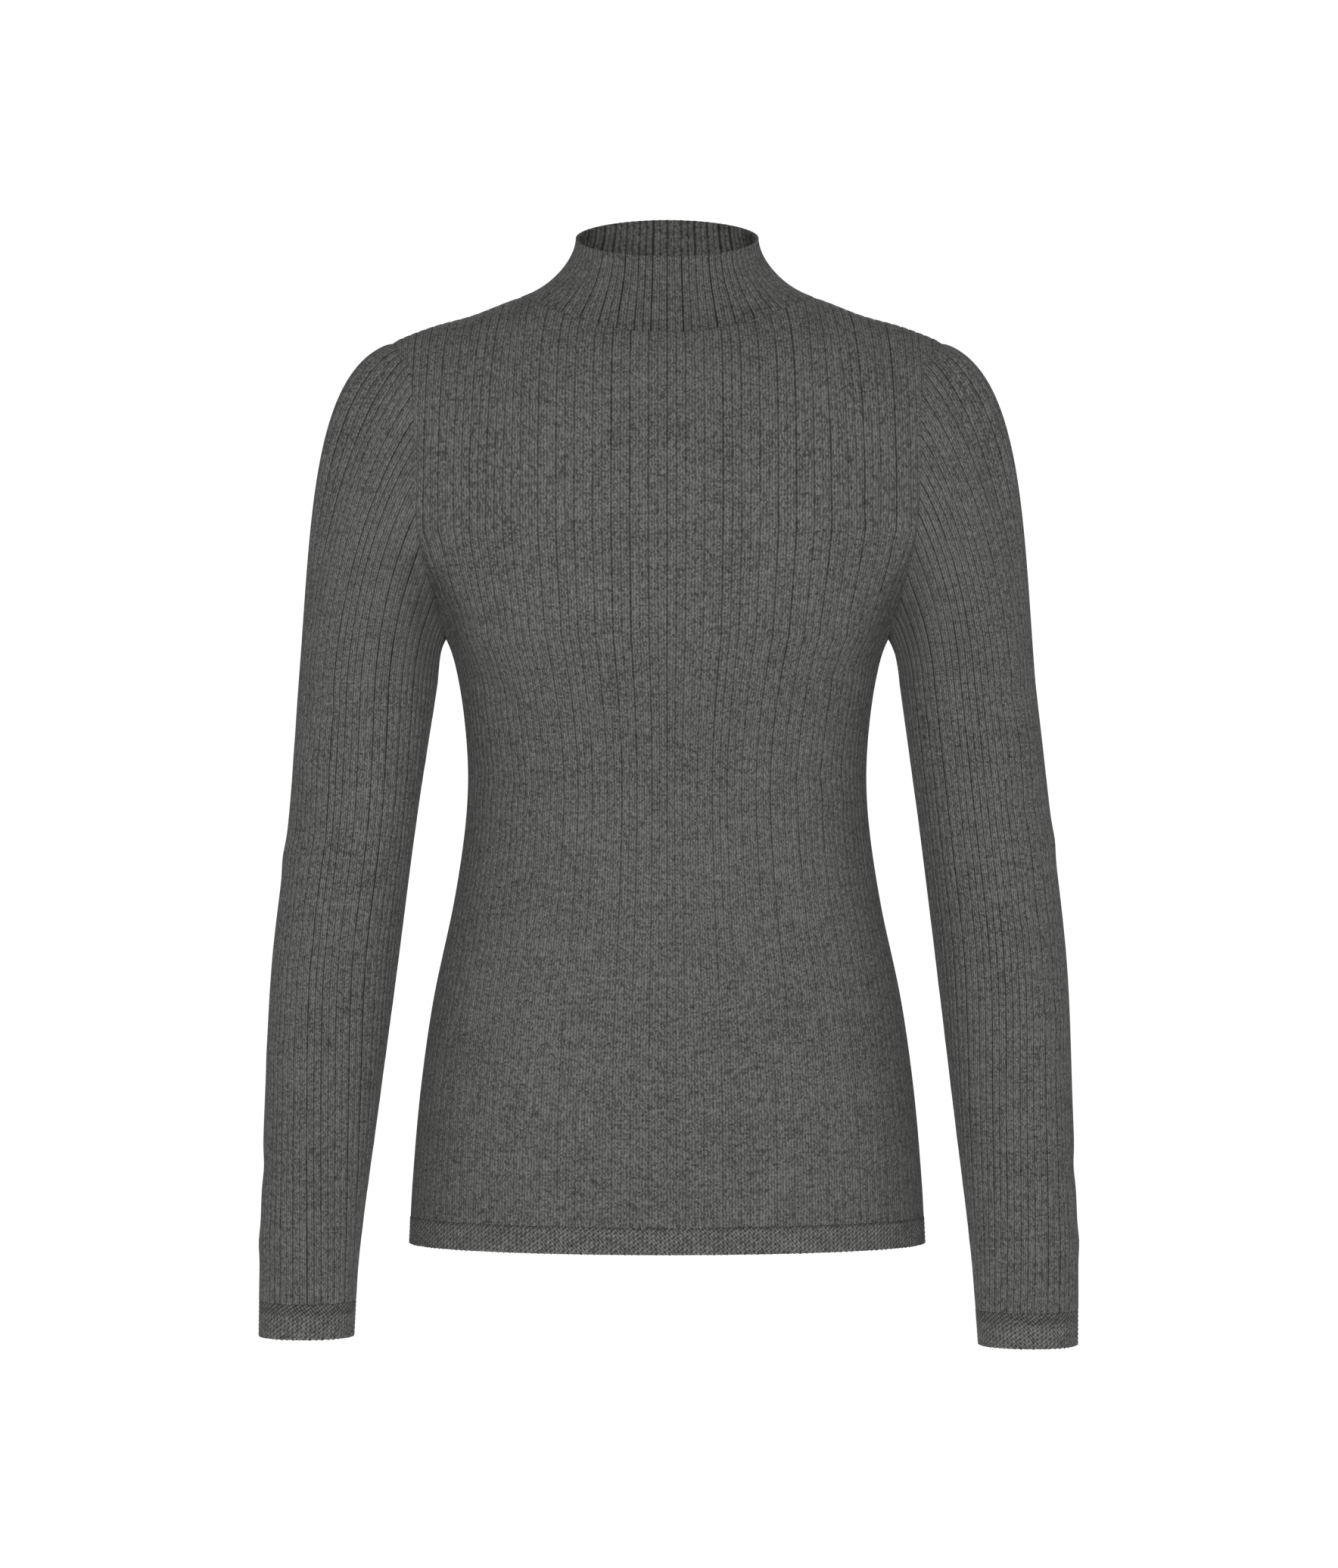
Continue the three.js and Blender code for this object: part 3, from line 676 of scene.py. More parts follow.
# %% Rib stitch group
def rib_stitch_group():
    """Height of the V stitches, the hollows between them, and the cell of each leg of a stitch.

    The hollows are the grooves between ribs, the lines between two columns and the gaps between two
    courses. They lower the bump and darken the colour there as painted shade. Each groove has a depth of
    its own, and all of them fade where the hips stretch the cloth.
    """
    tree, given, result = new_group("rib_stitches", [
        ("Map", "NodeSocketVector", (0, 0, 0)),
        ("Wales in a rib", "NodeSocketFloat", 3.0),
        ("Course height", "NodeSocketFloat", 1.15),
        ("Groove", "NodeSocketFloat", 0.8),
        ("Wale line", "NodeSocketFloat", 0.56),
        ("Course gap", "NodeSocketFloat", 0.22),
        ("Hip fade", "NodeSocketFloat", 0.0),
    ], [
        ("Height", "NodeSocketFloat"),
        ("Hollow", "NodeSocketFloat"),
        ("Stitch cell", "NodeSocketVector"),
    ])
    across, up = split_vector(tree, given["Map"])[:2]
    wale = maths(tree, "MULTIPLY", across, given["Wales in a rib"])
    from_middle = maths(tree, "ABSOLUTE", maths(tree, "SUBTRACT", maths(tree, "FRACT", wale), 0.5))
    course = maths(tree, "ADD", maths(tree, "DIVIDE", up, given["Course height"]), from_middle)

    # Each groove's depth, in bump and in painted shade, is 0.7 to 1.1, and 0.3 less for every second
    # one.
    rib_number = maths(tree, "FLOOR", maths(tree, "ADD", across, 0.5))
    own_depth = maths(tree, "MULTIPLY_ADD", random_number(tree, rib_number), 0.4, 0.7)
    own_depth = maths(tree, "MULTIPLY_ADD", maths(tree, "PINGPONG", rib_number, 1.0), -0.3, own_depth)

    # The share of hip fade goes from 0 at z = -0.26 m to 1 at z = -0.5 m.
    place = object_place(tree)
    low = maths(tree, "MULTIPLY_ADD", split_vector(tree, place)[2], -4.2, -1.1)
    low = maths(tree, "MULTIPLY", clamp(tree, low), given["Hip fade"])
    own_depth = maths(tree, "MULTIPLY", own_depth, maths(tree, "SUBTRACT", 1.0, low))

    patchy = maths(tree, "MULTIPLY_ADD", noise(tree, place, (90, 90, 60)), 1.4, 0.95)
    flat_bottom = clamp(tree, maths(tree, "MULTIPLY", line_mask(tree, across, 0.15), 1.5))
    groove = maths(tree, "MULTIPLY", flat_bottom, given["Groove"])
    groove = maths(tree, "MULTIPLY", maths(tree, "MULTIPLY", groove, own_depth), clamp(tree, patchy))
    wale_line = maths(tree, "MULTIPLY", line_mask(tree, wale, 0.2), given["Wale line"])
    gap = maths(tree, "MULTIPLY", line_mask(tree, course, 0.3), given["Course gap"])
    hollow = maths(tree, "MAXIMUM", groove, maths(tree, "ADD", wale_line, gap))
    tree.links.new(hollow, result["Hollow"])
    tree.links.new(maths(tree, "SUBTRACT", 1.0, hollow), result["Height"])
    cell = join_cell(tree, maths(tree, "MULTIPLY", wale, 2.0), course)
    tree.links.new(cell, result["Stitch cell"])
    return tree


# %% Band stitch group
STITCH_LEAN = 0.3
STITCH_SWING = 0.35
HIGH_LEG = 0.45


def band_stitch_group():
    """The same for the bands, whose map counts columns and courses.

    Height = 0.5 + swing * cos(2 pi across) * (cos(2 pi (up + lean * across)) + high leg), so that the
    legs lie in a brick pattern, and one leg of each stitch stands higher than the other. A dotted
    line runs over the last courses, where the band is linked to the ribs.
    """
    tree, given, result = new_group("band_stitches", [
        ("Map", "NodeSocketVector", (0, 0, 0)),
        ("Strength", "NodeSocketFloat", 0.95),
        ("Courses", "NodeSocketFloat", 6.0),
    ], [("Hollow", "NodeSocketFloat"), ("Stitch cell", "NodeSocketVector")])
    across, up = split_vector(tree, given["Map"])[:2]
    turn = maths(tree, "COSINE", maths(tree, "MULTIPLY", across, 2 * math.pi))
    leaning = maths(tree, "MULTIPLY_ADD", across, STITCH_LEAN, up)
    rise = maths(tree, "COSINE", maths(tree, "MULTIPLY", leaning, 2 * math.pi))
    lozenge = maths(tree, "MULTIPLY", turn, rise)
    high_leg = maths(tree, "MULTIPLY", turn, HIGH_LEG)
    height = maths(tree, "MULTIPLY_ADD", maths(tree, "ADD", lozenge, high_leg), STITCH_SWING, 0.5)
    # The hollow between the legs darkens the colour as painted shade, over the modelled stitches.
    hollow = maths(tree, "MULTIPLY", maths(tree, "SUBTRACT", 1.0, height), given["Strength"])
    past_last = maths(tree, "SUBTRACT", up, maths(tree, "SUBTRACT", given["Courses"], 0.7))
    dots = maths(tree, "MULTIPLY_ADD", turn, 0.16, 0.16)
    seam = maths(tree, "MULTIPLY", clamp(tree, maths(tree, "MULTIPLY", past_last, 3.0)), dots)
    tree.links.new(maths(tree, "ADD", hollow, seam), result["Hollow"])
    cell = join_cell(tree, maths(tree, "MULTIPLY", across, 2.0), maths(tree, "MULTIPLY", up, 2.0))
    tree.links.new(cell, result["Stitch cell"])
    return tree


MELANGE = melange_group()
RIB_STITCHES = rib_stitch_group()
BAND_STITCHES = band_stitch_group()
print("shader groups:", MELANGE.name, RIB_STITCHES.name, BAND_STITCHES.name)

# %% [markdown]
# The finishes
#
# All are wool: very rough, with a soft sheen where fibres stand up at a grazing angle. The rib finish
# takes its stitches from bump and from painted shade in its hollows; the grooves are deeper, in bump and
# in painted shade, on the sleeves and the collar, where the cloth is less stretched than on the body.
# The band's stitches are modelled, so its bump only adds fibres, while its colour paints shade between
# them. The light fibre is paler on the sleeves, as painted light, and darker on the collar, as painted
# shade; on the bands it is much paler, which offsets the painted shade between their stitches.

# %% Finishes
RELIEF = 0.0003
WARMTH = 0.965


def place_group(tree, group, **values):
    """A group in a material; a value's name is its input's, with underscores for spaces."""
    node = tree.nodes.new("ShaderNodeGroup")
    node.node_tree = group
    for label, value in values.items():
        feed(tree, node.inputs[label.replace("_", " ")], value)
    return node


def wool_shader(tree, colour, height):
    """A Principled shader set for wool, with a bump."""
    shader = tree.nodes["Principled BSDF"]
    shader.inputs["Roughness"].default_value = 0.95
    shader.inputs["Specular IOR Level"].default_value = 0.15
    shader.inputs["Sheen Weight"].default_value = 0.08
    shader.inputs["Sheen Roughness"].default_value = 0.5
    bump = tree.nodes.new("ShaderNodeBump")
    bump.inputs["Strength"].default_value = 0.8
    bump.inputs["Distance"].default_value = RELIEF
    tree.links.new(height, bump.inputs["Height"])
    tree.links.new(bump.outputs["Normal"], shader.inputs["Normal"])
    tree.links.new(colour, shader.inputs["Base Color"])


def knit_material(name, stitches, yarn_noise, light, **values):
    """A wool material. Its group of stitches gives the hollows, which darken the colour as painted
    shade, the cells of the colour and the bump.

    A group without a height leaves the bump to fine fibres.
    """
    material = bpy.data.materials.new(name)
    material.use_nodes = True
    tree = material.node_tree
    knit_map = tree.nodes.new("ShaderNodeUVMap")
    knit_map.uv_map = "knit"
    knit = place_group(tree, stitches, Map=knit_map.outputs[0], **values)
    # The hollows take the yarn's colour towards the shade colour: painted shade.
    yarn = place_group(
        tree, MELANGE, Hollow=knit.outputs["Hollow"], Stitch_cell=knit.outputs["Stitch cell"],
        Stitches=yarn_noise, Light_fibre=(light, light, light * WARMTH, 1))
    if "Height" in knit.outputs:
        height = knit.outputs["Height"]
    else:
        height = noise(tree, object_place(tree), (1500, 1500, 1500), detail=2.0)
    wool_shader(tree, yarn.outputs["Color"], height)
    print("finish:", name)
    return material


# One yarn throughout: the sleeve's paler light fibre is painted light, the collar's darker one painted
# shade, and the bands' paler one offsets their painted shade.
BODY_KNIT = knit_material("rib_knit_body", RIB_STITCHES, 0.68, 0.24, Hip_fade=0.4)
SLEEVE_KNIT = knit_material("rib_knit_sleeve", RIB_STITCHES, 0.68, 0.252, Groove=0.95, Wale_line=0.6)
COLLAR_KNIT = knit_material("rib_knit_collar", RIB_STITCHES, 0.68, 0.218, Groove=0.95, Wale_line=0.66)
PLAIN_KNIT = knit_material("plain_knit", BAND_STITCHES, 0.45, 0.4)

# %% [markdown]
# Making the panels
#
# Rows are about 4 mm apart, close enough for the creases.

# %% Front and back
PANEL_ROWS = {"low": 112, "high": 38}
HIP_STRETCH = {"from_z": -260.0, "over": 240.0}


def rib_map(places, points):
    """The piece's own map: ribs across, and millimetres up."""
    return np.stack(np.broadcast_arrays(places[None, :], distance_up(points)[:, None]), axis=-1)


def make_panel(name, face, node):
    """The panel's surface, moved along its normal by its creases and ribs."""
    places, heights = rib_columns(RIBS["panel"])
    position = -face * (2 * places / RIBS["panel"] - 1)
    z = np.linspace(HEM_BOTTOM + HEM_BAND_HEIGHT + SEAM_GAP, CHEST_LINE, PANEL_ROWS["low"])
    share = np.linspace(0, 1, PANEL_ROWS["high"] + 1)[1:]
    points = np.concatenate([low_panel(position, z, face), high_panel(position, share, face)])
    normal = body_normal(points)
    points = underarm_fold(points)
    to_seam = near_seam(points)
    crease = crease_depth(points[..., 0], points[..., 2], BODY_CREASES[face])
    crease = crease * smooth_share(to_seam, CREASE_FADE)
    stretched = np.clip((HIP_STRETCH["from_z"] - points[..., 2]) / HIP_STRETCH["over"], 0, 1)
    rib = RIB_RISE * (1 - (1 - HIP_RIBS) * stretched) * level_at_seam(points, -1, heights)
    rib = rib * np.clip(to_seam / RIB_FADE, 0, 1)
    relief = points + normal * (crease + rib)[..., None]
    uv = rib_map(places, points)
    cloth_piece(name, relief, uv, BODY_KNIT, WALL, node)


make_panel("front", FRONT, "front_panel")
make_panel("back", BACK, "back_panel")

# %% [markdown]
# Sleeves
#
# A sleeve is a tube of rings below the underarm and a cap above it. Knitted flat, the cap's edge is a
# bell curve, so each rib of the cap is a curve that leaves the armhole seam at the angle that the bell
# gives and arrives in the ring round the upper arm. Lower down the tube narrows, and the ribs keep
# their width, so those at the underarm seam are cut off one by one.

# %% Sleeve surface
def ring_point(side_name, z, offset):
    """A point round a sleeve at a height; offset runs from -1 to 1, with 0 on the outer line."""
    rings = SLEEVE[side_name]
    side = SIDE_OF[side_name]
    radius = smooth(rings, "z", "radius", z)
    turn = side * math.pi / 2 + offset * math.pi
    x = side * smooth(rings, "z", "x", z) + radius * np.sin(turn)
    y = smooth(rings, "z", "y", z) - radius * SLEEVE_DEPTH * np.cos(turn)
    return np.stack(np.broadcast_arrays(x, y, z), axis=-1)


print("upper arm girth: %.0f mm" % (2 * math.pi * smooth(SLEEVE["left"], "z", "radius", BICEPS_Z)))

# %% Armhole seam
SEAM_STEP = 0.035


def armhole_loop(face):
    """Half of the armhole seam, from the shoulder's tip down: shares of its length, and its points."""
    turn = np.linspace(0, math.pi, 600)
    z = TIP_Z + (UNDERARM_Z - TIP_Z) * (1 - np.cos(turn)) / 2
    x = armhole_x(z)
    points = np.stack([x + SEAM_LINE, face * body_depth(x, z, face), z], axis=-1)
    stride = np.linalg.norm(np.diff(points, axis=0), axis=1)
    travelled = np.concatenate([[0], np.cumsum(stride)])
    return travelled / travelled[-1], points


def cap_seam_share(away):
    """Share of the seam's length at a rib, and the slope of the flat cap's bell curve there.

    The slope is bell * sin(pi * away), with away from 0 at the shoulder to 1 at the underarm.
    """
    at = np.linspace(0, 1, 400)
    slope = CAP["bell"] * np.sin(math.pi * at)
    length = np.concatenate([[0], np.cumsum(np.hypot(1, (slope[1:] + slope[:-1]) / 2))])
    return np.interp(away, at, length / length[-1]), CAP["bell"] * np.sin(math.pi * away)


def seam_place(loop, share):
    """Point and direction of the armhole seam, towards the underarm, at shares of its length."""
    shares, points = loop

    def at(s):
        return np.stack([np.interp(s, shares, points[:, i]) for i in range(3)], axis=-1)

    along = at(np.minimum(share + SEAM_STEP, 1)) - at(np.maximum(share - SEAM_STEP, 0))
    return at(share), unit(along)


print("armhole seam: %d points on each half" % len(armhole_loop(FRONT)[0]))

# %% Sleeve cap
def cap_point(side_name, offset, share):
    """Points of the cap: share 0 is the upper-arm ring and share 1 the armhole seam.

    A rib crosses the seam at the angle that the bell curve's slope gives: squarely on the shoulder and
    at the underarm, and at a narrow angle on the steep sides between them. Close to the shoulder the
    lean comes in slowly, so that the ribs there stay evenly spaced.
    """
    side = SIDE_OF[side_name]
    mirror = np.array([side, 1, 1])
    seam_share, slope = cap_seam_share(np.abs(offset))
    on_front, along_front = seam_place(armhole_loop(FRONT), seam_share)
    on_back, along_back = seam_place(armhole_loop(BACK), seam_share)
    front = (side * offset < 0)[:, None]
    start = np.where(front, on_front, on_back) * mirror
    along = np.where(front, along_front, along_back) * mirror
    end = ring_point(side_name, np.full_like(offset, BICEPS_Z), offset)
    length = np.linalg.norm(end - start, axis=-1, keepdims=True)
    lean = CAP["lean_top"] + (CAP["lean_under"] - CAP["lean_top"]) * np.abs(offset) ** 1.5
    lean = np.radians(lean)
    outward = np.stack([side * np.cos(lean), 0 * lean, -np.sin(lean)], axis=-1)
    outward = outward - (outward * along).sum(-1, keepdims=True) * along
    outward = unit(outward)
    crossing = np.arctan2(1, slope)[:, None]
    spread = np.cos(crossing) * smooth_share(np.abs(offset), CAP["even_tip"])[:, None]
    leave = (spread * along + np.sin(crossing) * outward) * CAP["leave"] * length
    arrive = np.array([side * CAP["outward"], 0, -1]) * CAP["arrive"] * length
    t = 1 - share[:, None, None]
    return hermite(start[None], leave[None], end[None], arrive[None], t)


# %% Sleeve normals
def tube_normal(points):
    """Normals of a closed tube: the way to the next point round crossed with the way to the next up."""
    up = np.gradient(points, axis=0)
    ring = points[:, :-1]
    around = np.roll(ring, -1, axis=1) - np.roll(ring, 1, axis=1)
    around = np.concatenate([around, around[:, :1]], axis=1)
    return unit(np.cross(around, up))


def sleeve_normal(side_name, points, z, kept):
    """Outward from the ring's middle on the tube, and from the grid on the cap."""
    side = SIDE_OF[side_name]
    turn = side * math.pi / 2 + kept * math.pi
    tube = unit(np.stack([np.sin(turn) * SLEEVE_DEPTH, -np.cos(turn), 0 * turn], axis=-1))
    return np.concatenate([tube, tube_normal(points[len(z):])])


# %% Both sleeves
SLEEVE_ROWS = {"tube": 92, "cap": 50}
CAP_ROW_POWER = 0.9
TUCK = 0.8
SLEEVE_CREASES = {
    "left": [
        (-62, -262, -18, -246, 7, -1.6), (-70, -290, -8, -282, 8, 1.2), (-64, -330, -20, -318, 9, -1.5),
        (-40, -352, 10, -344, 10, 1.1), (-70, -396, -30, -380, 9, -1.3), (20, -372, 66, -352, 9, -1.4),
        (-60, -470, -10, -458, 10, 1.0), (-30, -560, 34, -548, 10, -1.0), (-40, -598, 26, -606, 9, 0.9),
    ],
    "right": [
        (18, -250, 62, -268, 7, -1.7), (6, -292, 66, -304, 8, 1.2), (20, -336, 60, -350, 9, -1.4),
        (-12, -360, 36, -352, 10, 1.1), (28, -404, 70, -418, 9, -1.2), (-66, -366, -22, -380, 9, -1.3),
        (4, -480, 56, -492, 10, 1.0), (-34, -548, 28, -560, 10, -1.0), (-24, -606, 40, -598, 9, 0.9),
    ],
}


def make_sleeve(side_name):
    """Rings and cap as one grid, moved along its normal by creases and ribs.

    One more row tucks the cap's edge under the panels, as a linked seam has it.
    """
    rings = SLEEVE[side_name]
    places, heights = rib_columns(RIBS["sleeve"])
    offset = 2 * places / RIBS["sleeve"] - 1
    bottom = CUFF_BOTTOM[side_name] + CUFF_HEIGHT + SEAM_GAP
    z = np.linspace(bottom, BICEPS_Z, SLEEVE_ROWS["tube"] + 1)[:-1, None]
    narrowing = smooth(rings, "z", "radius", z) / smooth(rings, "z", "radius", BICEPS_Z)
    kept = np.clip(offset[None, :] / narrowing, -1, 1)
    tube = ring_point(side_name, np.broadcast_to(z, kept.shape), kept)
    cap = cap_point(side_name, offset, np.linspace(0, 1, SLEEVE_ROWS["cap"]) ** CAP_ROW_POWER)
    points = underarm_fold(np.concatenate([tube, cap]))
    normal = sleeve_normal(side_name, points, z, kept)
    half_girth = math.pi * smooth(rings, "z", "radius", BICEPS_Z)
    to_armhole = np.linalg.norm(points - points[-1:], axis=-1)
    to_seam = np.minimum(near_seam(points), to_armhole)
    crease = crease_depth(offset * half_girth, points[..., 2], SLEEVE_CREASES[side_name])
    crease = crease * np.clip(to_seam / CREASE_FADE, 0, 1)
    rib = RIB_RISE * heights * np.clip(to_seam / RIB_FADE, 0, 1)
    relief = points + normal * (crease + rib)[..., None]
    tucked = points[-1:] - TUCK * np.array([SIDE_OF[side_name], 0, 0]) - TUCK * body_normal(points[-1:])
    relief = np.concatenate([relief, tucked])
    points = np.concatenate([points, tucked])
    uv = rib_map(places, points)
    node = "sleeve_" + side_name
    cloth_piece(node + "_knit", relief, uv, SLEEVE_KNIT, WALL, node)


make_sleeve("left")
make_sleeve("right")

# %% [markdown]
# Collar
#
# The collar is linked to the neck seam and leans in along the shoulders before it stands up. So each of
# its ribs is a curve that leaves the seam in the plane of the shoulder and arrives upright at the rim.
# The rim is lower in front than behind.

# %% Collar
COLLAR_ROWS = 30


def neck_point(angle):
    """The neck seam at an angle from the middle of the front towards the wearer's left."""
    x = NECK["half_width"] * np.sin(angle)
    front = np.cos(angle) > 0
    y = np.where(front, -NECK[FRONT], -NECK[BACK]) * np.cos(angle)
    depth = np.where(front, body_depth(x, CHEST_LINE, FRONT), body_depth(x, CHEST_LINE, BACK))
    climb = np.sqrt(1 - np.clip(np.abs(y) / depth, 0, 1) ** 2)
    return np.stack([x, y, CHEST_LINE + climb * (shoulder_z(x) - CHEST_LINE)], axis=-1)


def collar_surface(angle, share):
    """Curves from the neck seam to the rim, one for each angle.

    On the seam the angles are spread by half of the spread * sin(2 * angle), and a curve's way in is
    turned towards the middle by upright * sin(2 * angle), so that ribs in front stand upright.
    """
    seam_angle = angle - COLLAR["spread"] / 2 * np.sin(2 * angle)
    seam = neck_point(seam_angle)
    normal = body_normal(seam)
    turned = seam_angle - COLLAR["upright"] * np.sin(2 * seam_angle)
    inward = np.stack([-np.sin(turned), np.cos(turned), 0 * angle], axis=-1)
    leave = inward - (inward * normal).sum(-1, keepdims=True) * normal
    leave = unit(leave)
    start = seam + SEAM_LINE * leave
    end = np.stack([
        RIM["half_width"] * np.sin(angle),
        RIM["centre_y"] - RIM["half_depth"] * np.cos(angle),
        RIM["z"] - RIM["rise"] * np.cos(angle),
    ], axis=-1)
    arrive = np.array([0, 0, COLLAR["stand"]])
    t = share[:, None, None]
    return hermite(start[None], leave[None] * COLLAR["lean"], end[None], arrive, t)


def make_collar():
    """The tube of curves, with its last column on its first, moved along its normal by its ribs."""
    places, heights = rib_columns(RIBS["collar"])
    angle = 2 * math.pi * places / RIBS["collar"]
    points = collar_surface(angle, np.linspace(0, 1, COLLAR_ROWS))
    points[:, -1] = points[:, 0]
    normal = tube_normal(points)
    rib = COLLAR["rib_rise"] * level_at_seam(points, 0, heights)
    relief = points + normal * rib[..., None]
    uv = rib_map(places, points)
    cloth_piece(
        "collar_knit", relief, uv, COLLAR_KNIT, WALL, "collar", rim=-1)


make_collar()

# %% [markdown]
# Hem bands and cuffs
#
# The bands are plain knit with larger stitches, which show one by one, so they are raised in the
# points. The legs of the stitches lean and lie in a brick pattern, as the finish also has it.

# %% Bands
BAND_STITCH = {"width": 2.8, "height": 2.9, "rise": 0.8}
BAND_STEPS = 4
BAND_SEAM_FADE = 2.0


def stitch_relief(wale, course):
    """The height of the band's finish, by the same formula, so that both have the same stitches."""
    turn = np.cos(2 * math.pi * wale)
    rise = np.cos(2 * math.pi * (course + STITCH_LEAN * wale))
    return 0.5 + STITCH_SWING * turn * (rise + HIGH_LEG)


def band_grid(girth, height):
    """Places across and up a band in stitches, with some steps to each stitch."""
    wales = round(girth / BAND_STITCH["width"])
    courses = round(height / BAND_STITCH["height"])
    return (
        np.linspace(0, wales, wales * BAND_STEPS + 1),
        np.linspace(0, courses, courses * BAND_STEPS + 1),
    )


def band_piece(name, points, normal, wale, course, node, seam_fade):
    """The band's surface, moved along its normal by its stitches, with a free rim below."""
    across, up = np.meshgrid(wale, course)
    rise = BAND_STITCH["rise"] * stitch_relief(across, up) * seam_fade
    relief = points + normal * rise[..., None]
    uv = np.stack([across, up], axis=-1)
    cloth_piece(name, relief, uv, PLAIN_KNIT, BAND_WALL, node, rim=0)


def make_hem_band(name, face, node):
    """The body's lowest level, below the ribs."""
    girth = 2 * quarter_length(HEM_BOTTOM, face)[0]
    wale, course = band_grid(girth, HEM_BAND_HEIGHT)
    z = np.linspace(HEM_BOTTOM, HEM_BOTTOM + HEM_BAND_HEIGHT, len(course))
    position = -face * (2 * wale / wale[-1] - 1)
    points = low_panel(position, z, face)
    fade = np.clip(near_seam(points) / BAND_SEAM_FADE, 0, 1)
    band_piece(name, points, body_normal(points), wale, course, node, fade)


def make_cuff(side_name):
    """The lowest rings of the sleeve."""
    bottom = CUFF_BOTTOM[side_name]
    radius = float(smooth(SLEEVE[side_name], "z", "radius", bottom))
    girth = 2 * math.pi * radius * (1 + SLEEVE_DEPTH) / 2
    wale, course = band_grid(girth, CUFF_HEIGHT)
    z = np.linspace(bottom, bottom + CUFF_HEIGHT, len(course))[:, None]
    offset = np.broadcast_to(2 * wale / wale[-1] - 1, (len(course), len(wale)))
    points = ring_point(side_name, np.broadcast_to(z, offset.shape), offset)
    points[:, -1] = points[:, 0]
    normal = tube_normal(points)
    node = "cuff_" + side_name
    band_piece(node + "_knit", points, normal, wale, course, node, 1.0)


make_hem_band("hem_front", FRONT, "hem_band_front")
make_hem_band("hem_back", BACK, "hem_band_back")
make_cuff("left")
make_cuff("right")

# %% [markdown]
# The studio
#
# The sweater is seen from straight in front, from three and a half metres away, in a white surround
# over a pale floor. Two soft lights stand in front, side by side, so the cloth darkens where it turns
# away. The same two stand behind it, and weaker ones at the sides and above, so it can be looked at all
# round. A backdrop would stand in the way from behind, so white comes from the surround instead.

# %% Floor
FLOOR = {"radius": 2.8, "z": -1.25, "steps": 96, "gone": 0.96, "fade": 1.6}


def pale_material(radius):
    """Pale paper, solid below the sweater and gone at a radius."""
    material = bpy.data.materials.new("pale_paper")
    material.use_nodes = True
    tree = material.node_tree
    shader = tree.nodes["Principled BSDF"]
    place = object_place(tree)
    grain = noise(tree, place, (3, 3, 3), detail=2.0)
    share = maths(tree, "ADD", grain, 0.5)
    colour = mix_colour(tree, share, (0.86, 0.86, 0.86, 1), (0.9, 0.9, 0.9, 1))
    tree.links.new(colour, shader.inputs["Base Color"])
    shader.inputs["Roughness"].default_value = 0.95
    length = tree.nodes.new("ShaderNodeVectorMath")
    length.operation = "LENGTH"
    flat = tree.nodes.new("ShaderNodeMapping")
    flat.inputs["Scale"].default_value = (1, 1, 0)
    tree.links.new(place, flat.inputs["Vector"])
    tree.links.new(flat.outputs[0], length.inputs[0])
    out = maths(tree, "DIVIDE", length.outputs["Value"], radius * FLOOR["gone"])
    near = maths(tree, "MULTIPLY", maths(tree, "SUBTRACT", 1.0, out), FLOOR["fade"])
    tree.links.new(clamp(tree, near), shader.inputs["Alpha"])
    return material


def make_floor():
    """A round floor: three rings of points, joined by two belts of faces, and one face inside them."""
    radius, steps = FLOOR["radius"], FLOOR["steps"]
    turn = np.linspace(0, 2 * math.pi, steps, endpoint=False)
    ring = np.stack([np.cos(turn), np.sin(turn), 0 * turn], axis=-1)
    points = np.concatenate([ring * radius * share for share in (1.0, 0.5, 0.1)]) + (0, 0, FLOOR["z"])
    i = np.arange(steps)
    after = (i + 1) % steps
    faces = [tuple(range(2 * steps, 3 * steps))]
    for start in (0, steps):
        quads = [start + i, start + after, start + steps + after, start + steps + i]
        faces.extend(np.stack(quads, axis=-1).tolist())
    mesh = bpy.data.meshes.new("floor")
    mesh.from_pydata(points.tolist(), [], faces)
    mesh.materials.append(pale_material(radius))
    add_object("floor", mesh)
    print("floor: %d faces" % len(mesh.polygons))


make_floor()

# %% Lights
def soft_light(name, place, target, width, height, power):
    """A soft box that faces a target."""
    light = bpy.data.lights.new(name, "AREA")
    light.shape = "RECTANGLE"
    light.size = width
    light.size_y = height
    light.energy = power
    lamp = add_object(name, light)
    lamp.location = place
    direction = np.array(target) - np.array(place)
    lamp.rotation_euler = (
        math.pi / 2 + math.atan2(direction[2], math.hypot(direction[0], direction[1])),
        0,
        math.atan2(-direction[0], direction[1]),
    )
    lamp.visible_camera = False


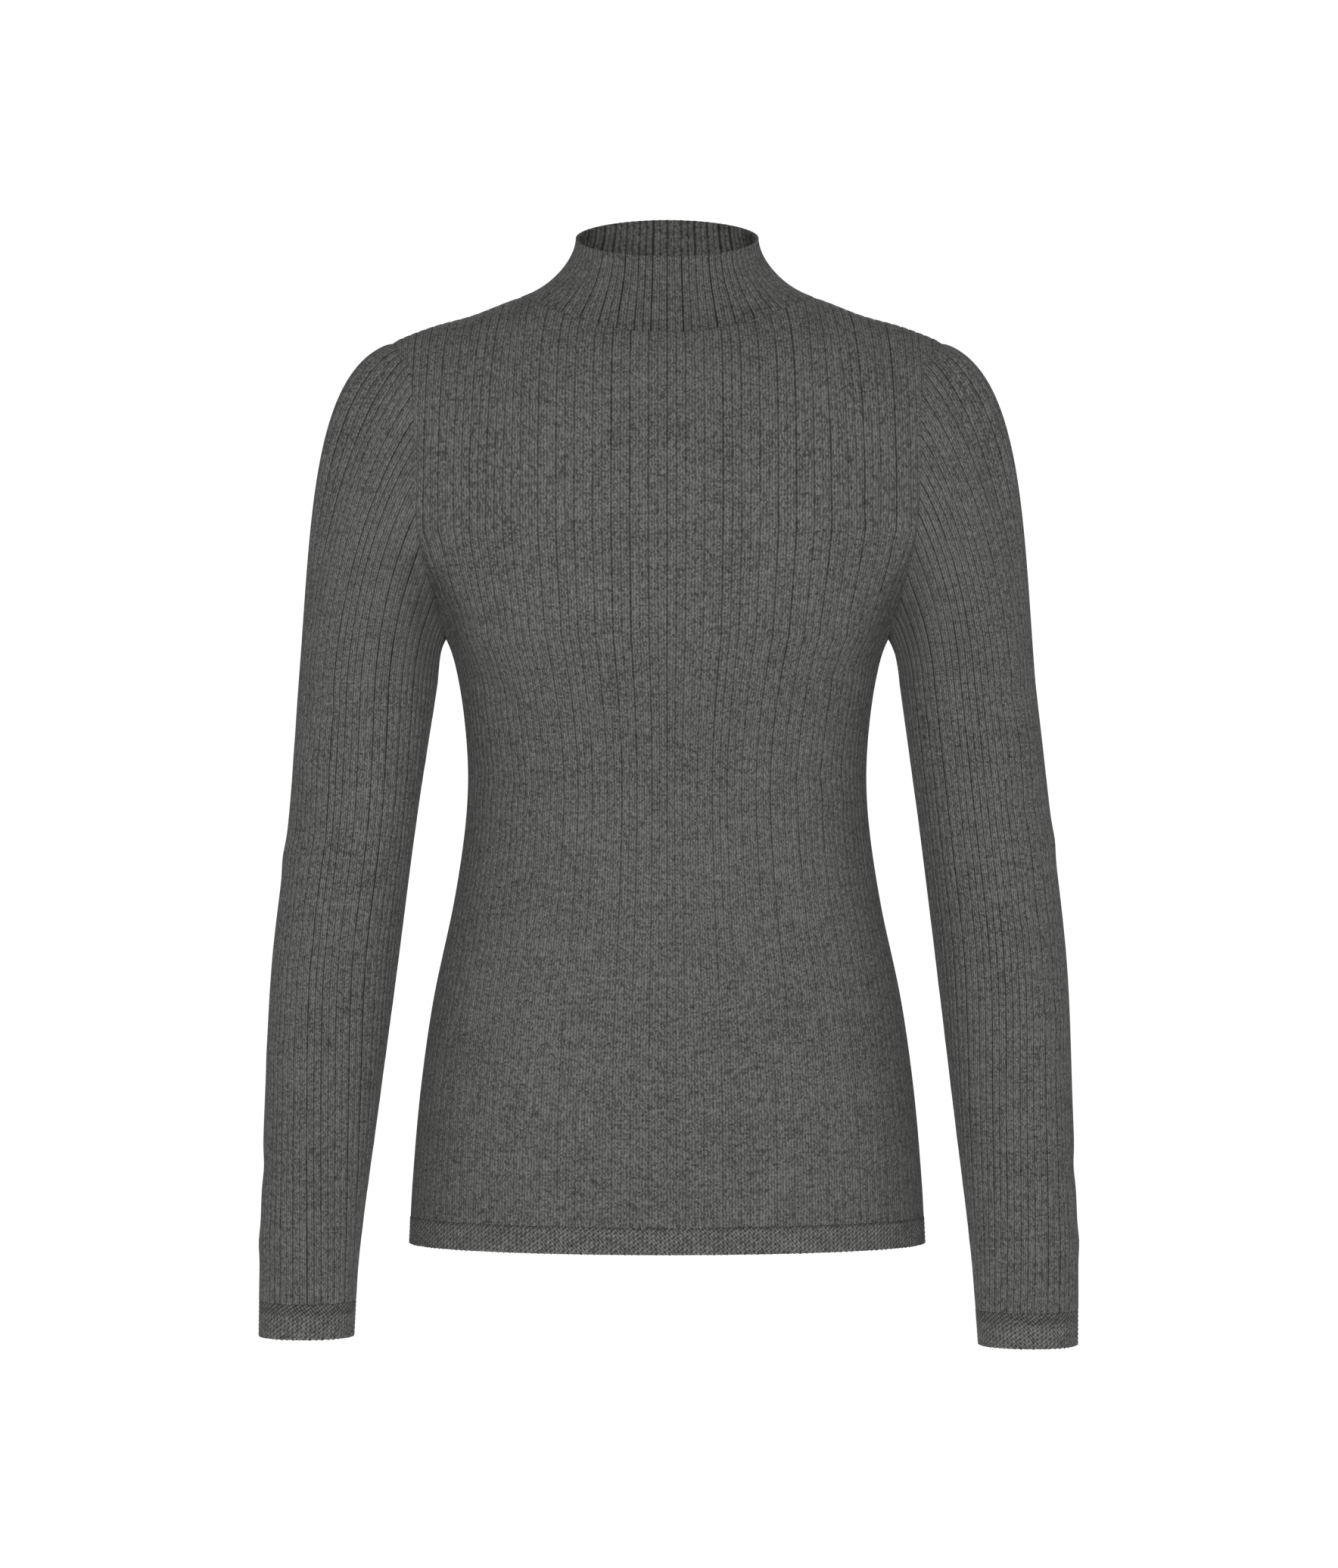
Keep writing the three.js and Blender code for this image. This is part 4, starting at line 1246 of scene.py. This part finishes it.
CENTRE = (0, 0, -0.34)
for side in (-1, 1):
    soft_light("front_light", (side * 0.42, -2.3, 0.28), CENTRE, 0.8, 1.5, 24)
    soft_light("side_light", (side * 3.0, 0.2, -0.5), CENTRE, 1.2, 1.4, 17)
    soft_light("back_light", (side * 0.42, 2.3, 0.28), CENTRE, 0.8, 1.5, 24)
soft_light("top_light", (0, -0.2, 2.3), CENTRE, 2.0, 2.0, 2)
print("lights:", len(bpy.data.lights))

# %% Surround
AMBIENT = 0.07
WHITE = 1.05


def white_surround():
    """White where the camera looks past everything, and a weak even light for the object."""
    world = bpy.data.worlds.new("surround")
    world.use_nodes = True
    tree = world.node_tree
    background = tree.nodes["Background"]
    background.inputs["Color"].default_value = (1, 1, 1, 1)
    rays = tree.nodes.new("ShaderNodeLightPath")
    strength = maths(tree, "MULTIPLY_ADD", rays.outputs["Is Camera Ray"], WHITE - AMBIENT, AMBIENT)
    tree.links.new(strength, background.inputs["Strength"])
    return world


bpy.context.scene.world = white_surround()
bpy.context.scene.view_settings.view_transform = "Standard"

# %% [markdown]
# The camera
#
# The picture is 1768 by 2072 pixels and shows 2.05 pixels to a millimetre at the sweater, so its height
# covers 1.01 m there. The lens follows from that, the distance and the sensor, which an upright
# picture fits by its height.

# %% Camera
PICTURE = {"width": 1768, "height": 2072, "pixels_per_mm": 2.05, "middle_x": 881.6, "shoulder_y": 400}
CAMERA_DISTANCE = 3.5
SENSOR = 36.0

seen_height = PICTURE["height"] / PICTURE["pixels_per_mm"] * MM
camera_data = bpy.data.cameras.new("camera")
camera_data.sensor_width = SENSOR
camera_data.lens = SENSOR * CAMERA_DISTANCE / seen_height
camera = add_object("camera", camera_data)
camera.location = (
    (PICTURE["width"] / 2 - PICTURE["middle_x"]) / PICTURE["pixels_per_mm"] * MM,
    -CAMERA_DISTANCE,
    (PICTURE["shoulder_y"] - PICTURE["height"] / 2) / PICTURE["pixels_per_mm"] * MM,
)
camera.rotation_euler = (math.pi / 2, 0, 0)
bpy.context.scene.camera = camera
print("lens: %.1f mm" % camera_data.lens)
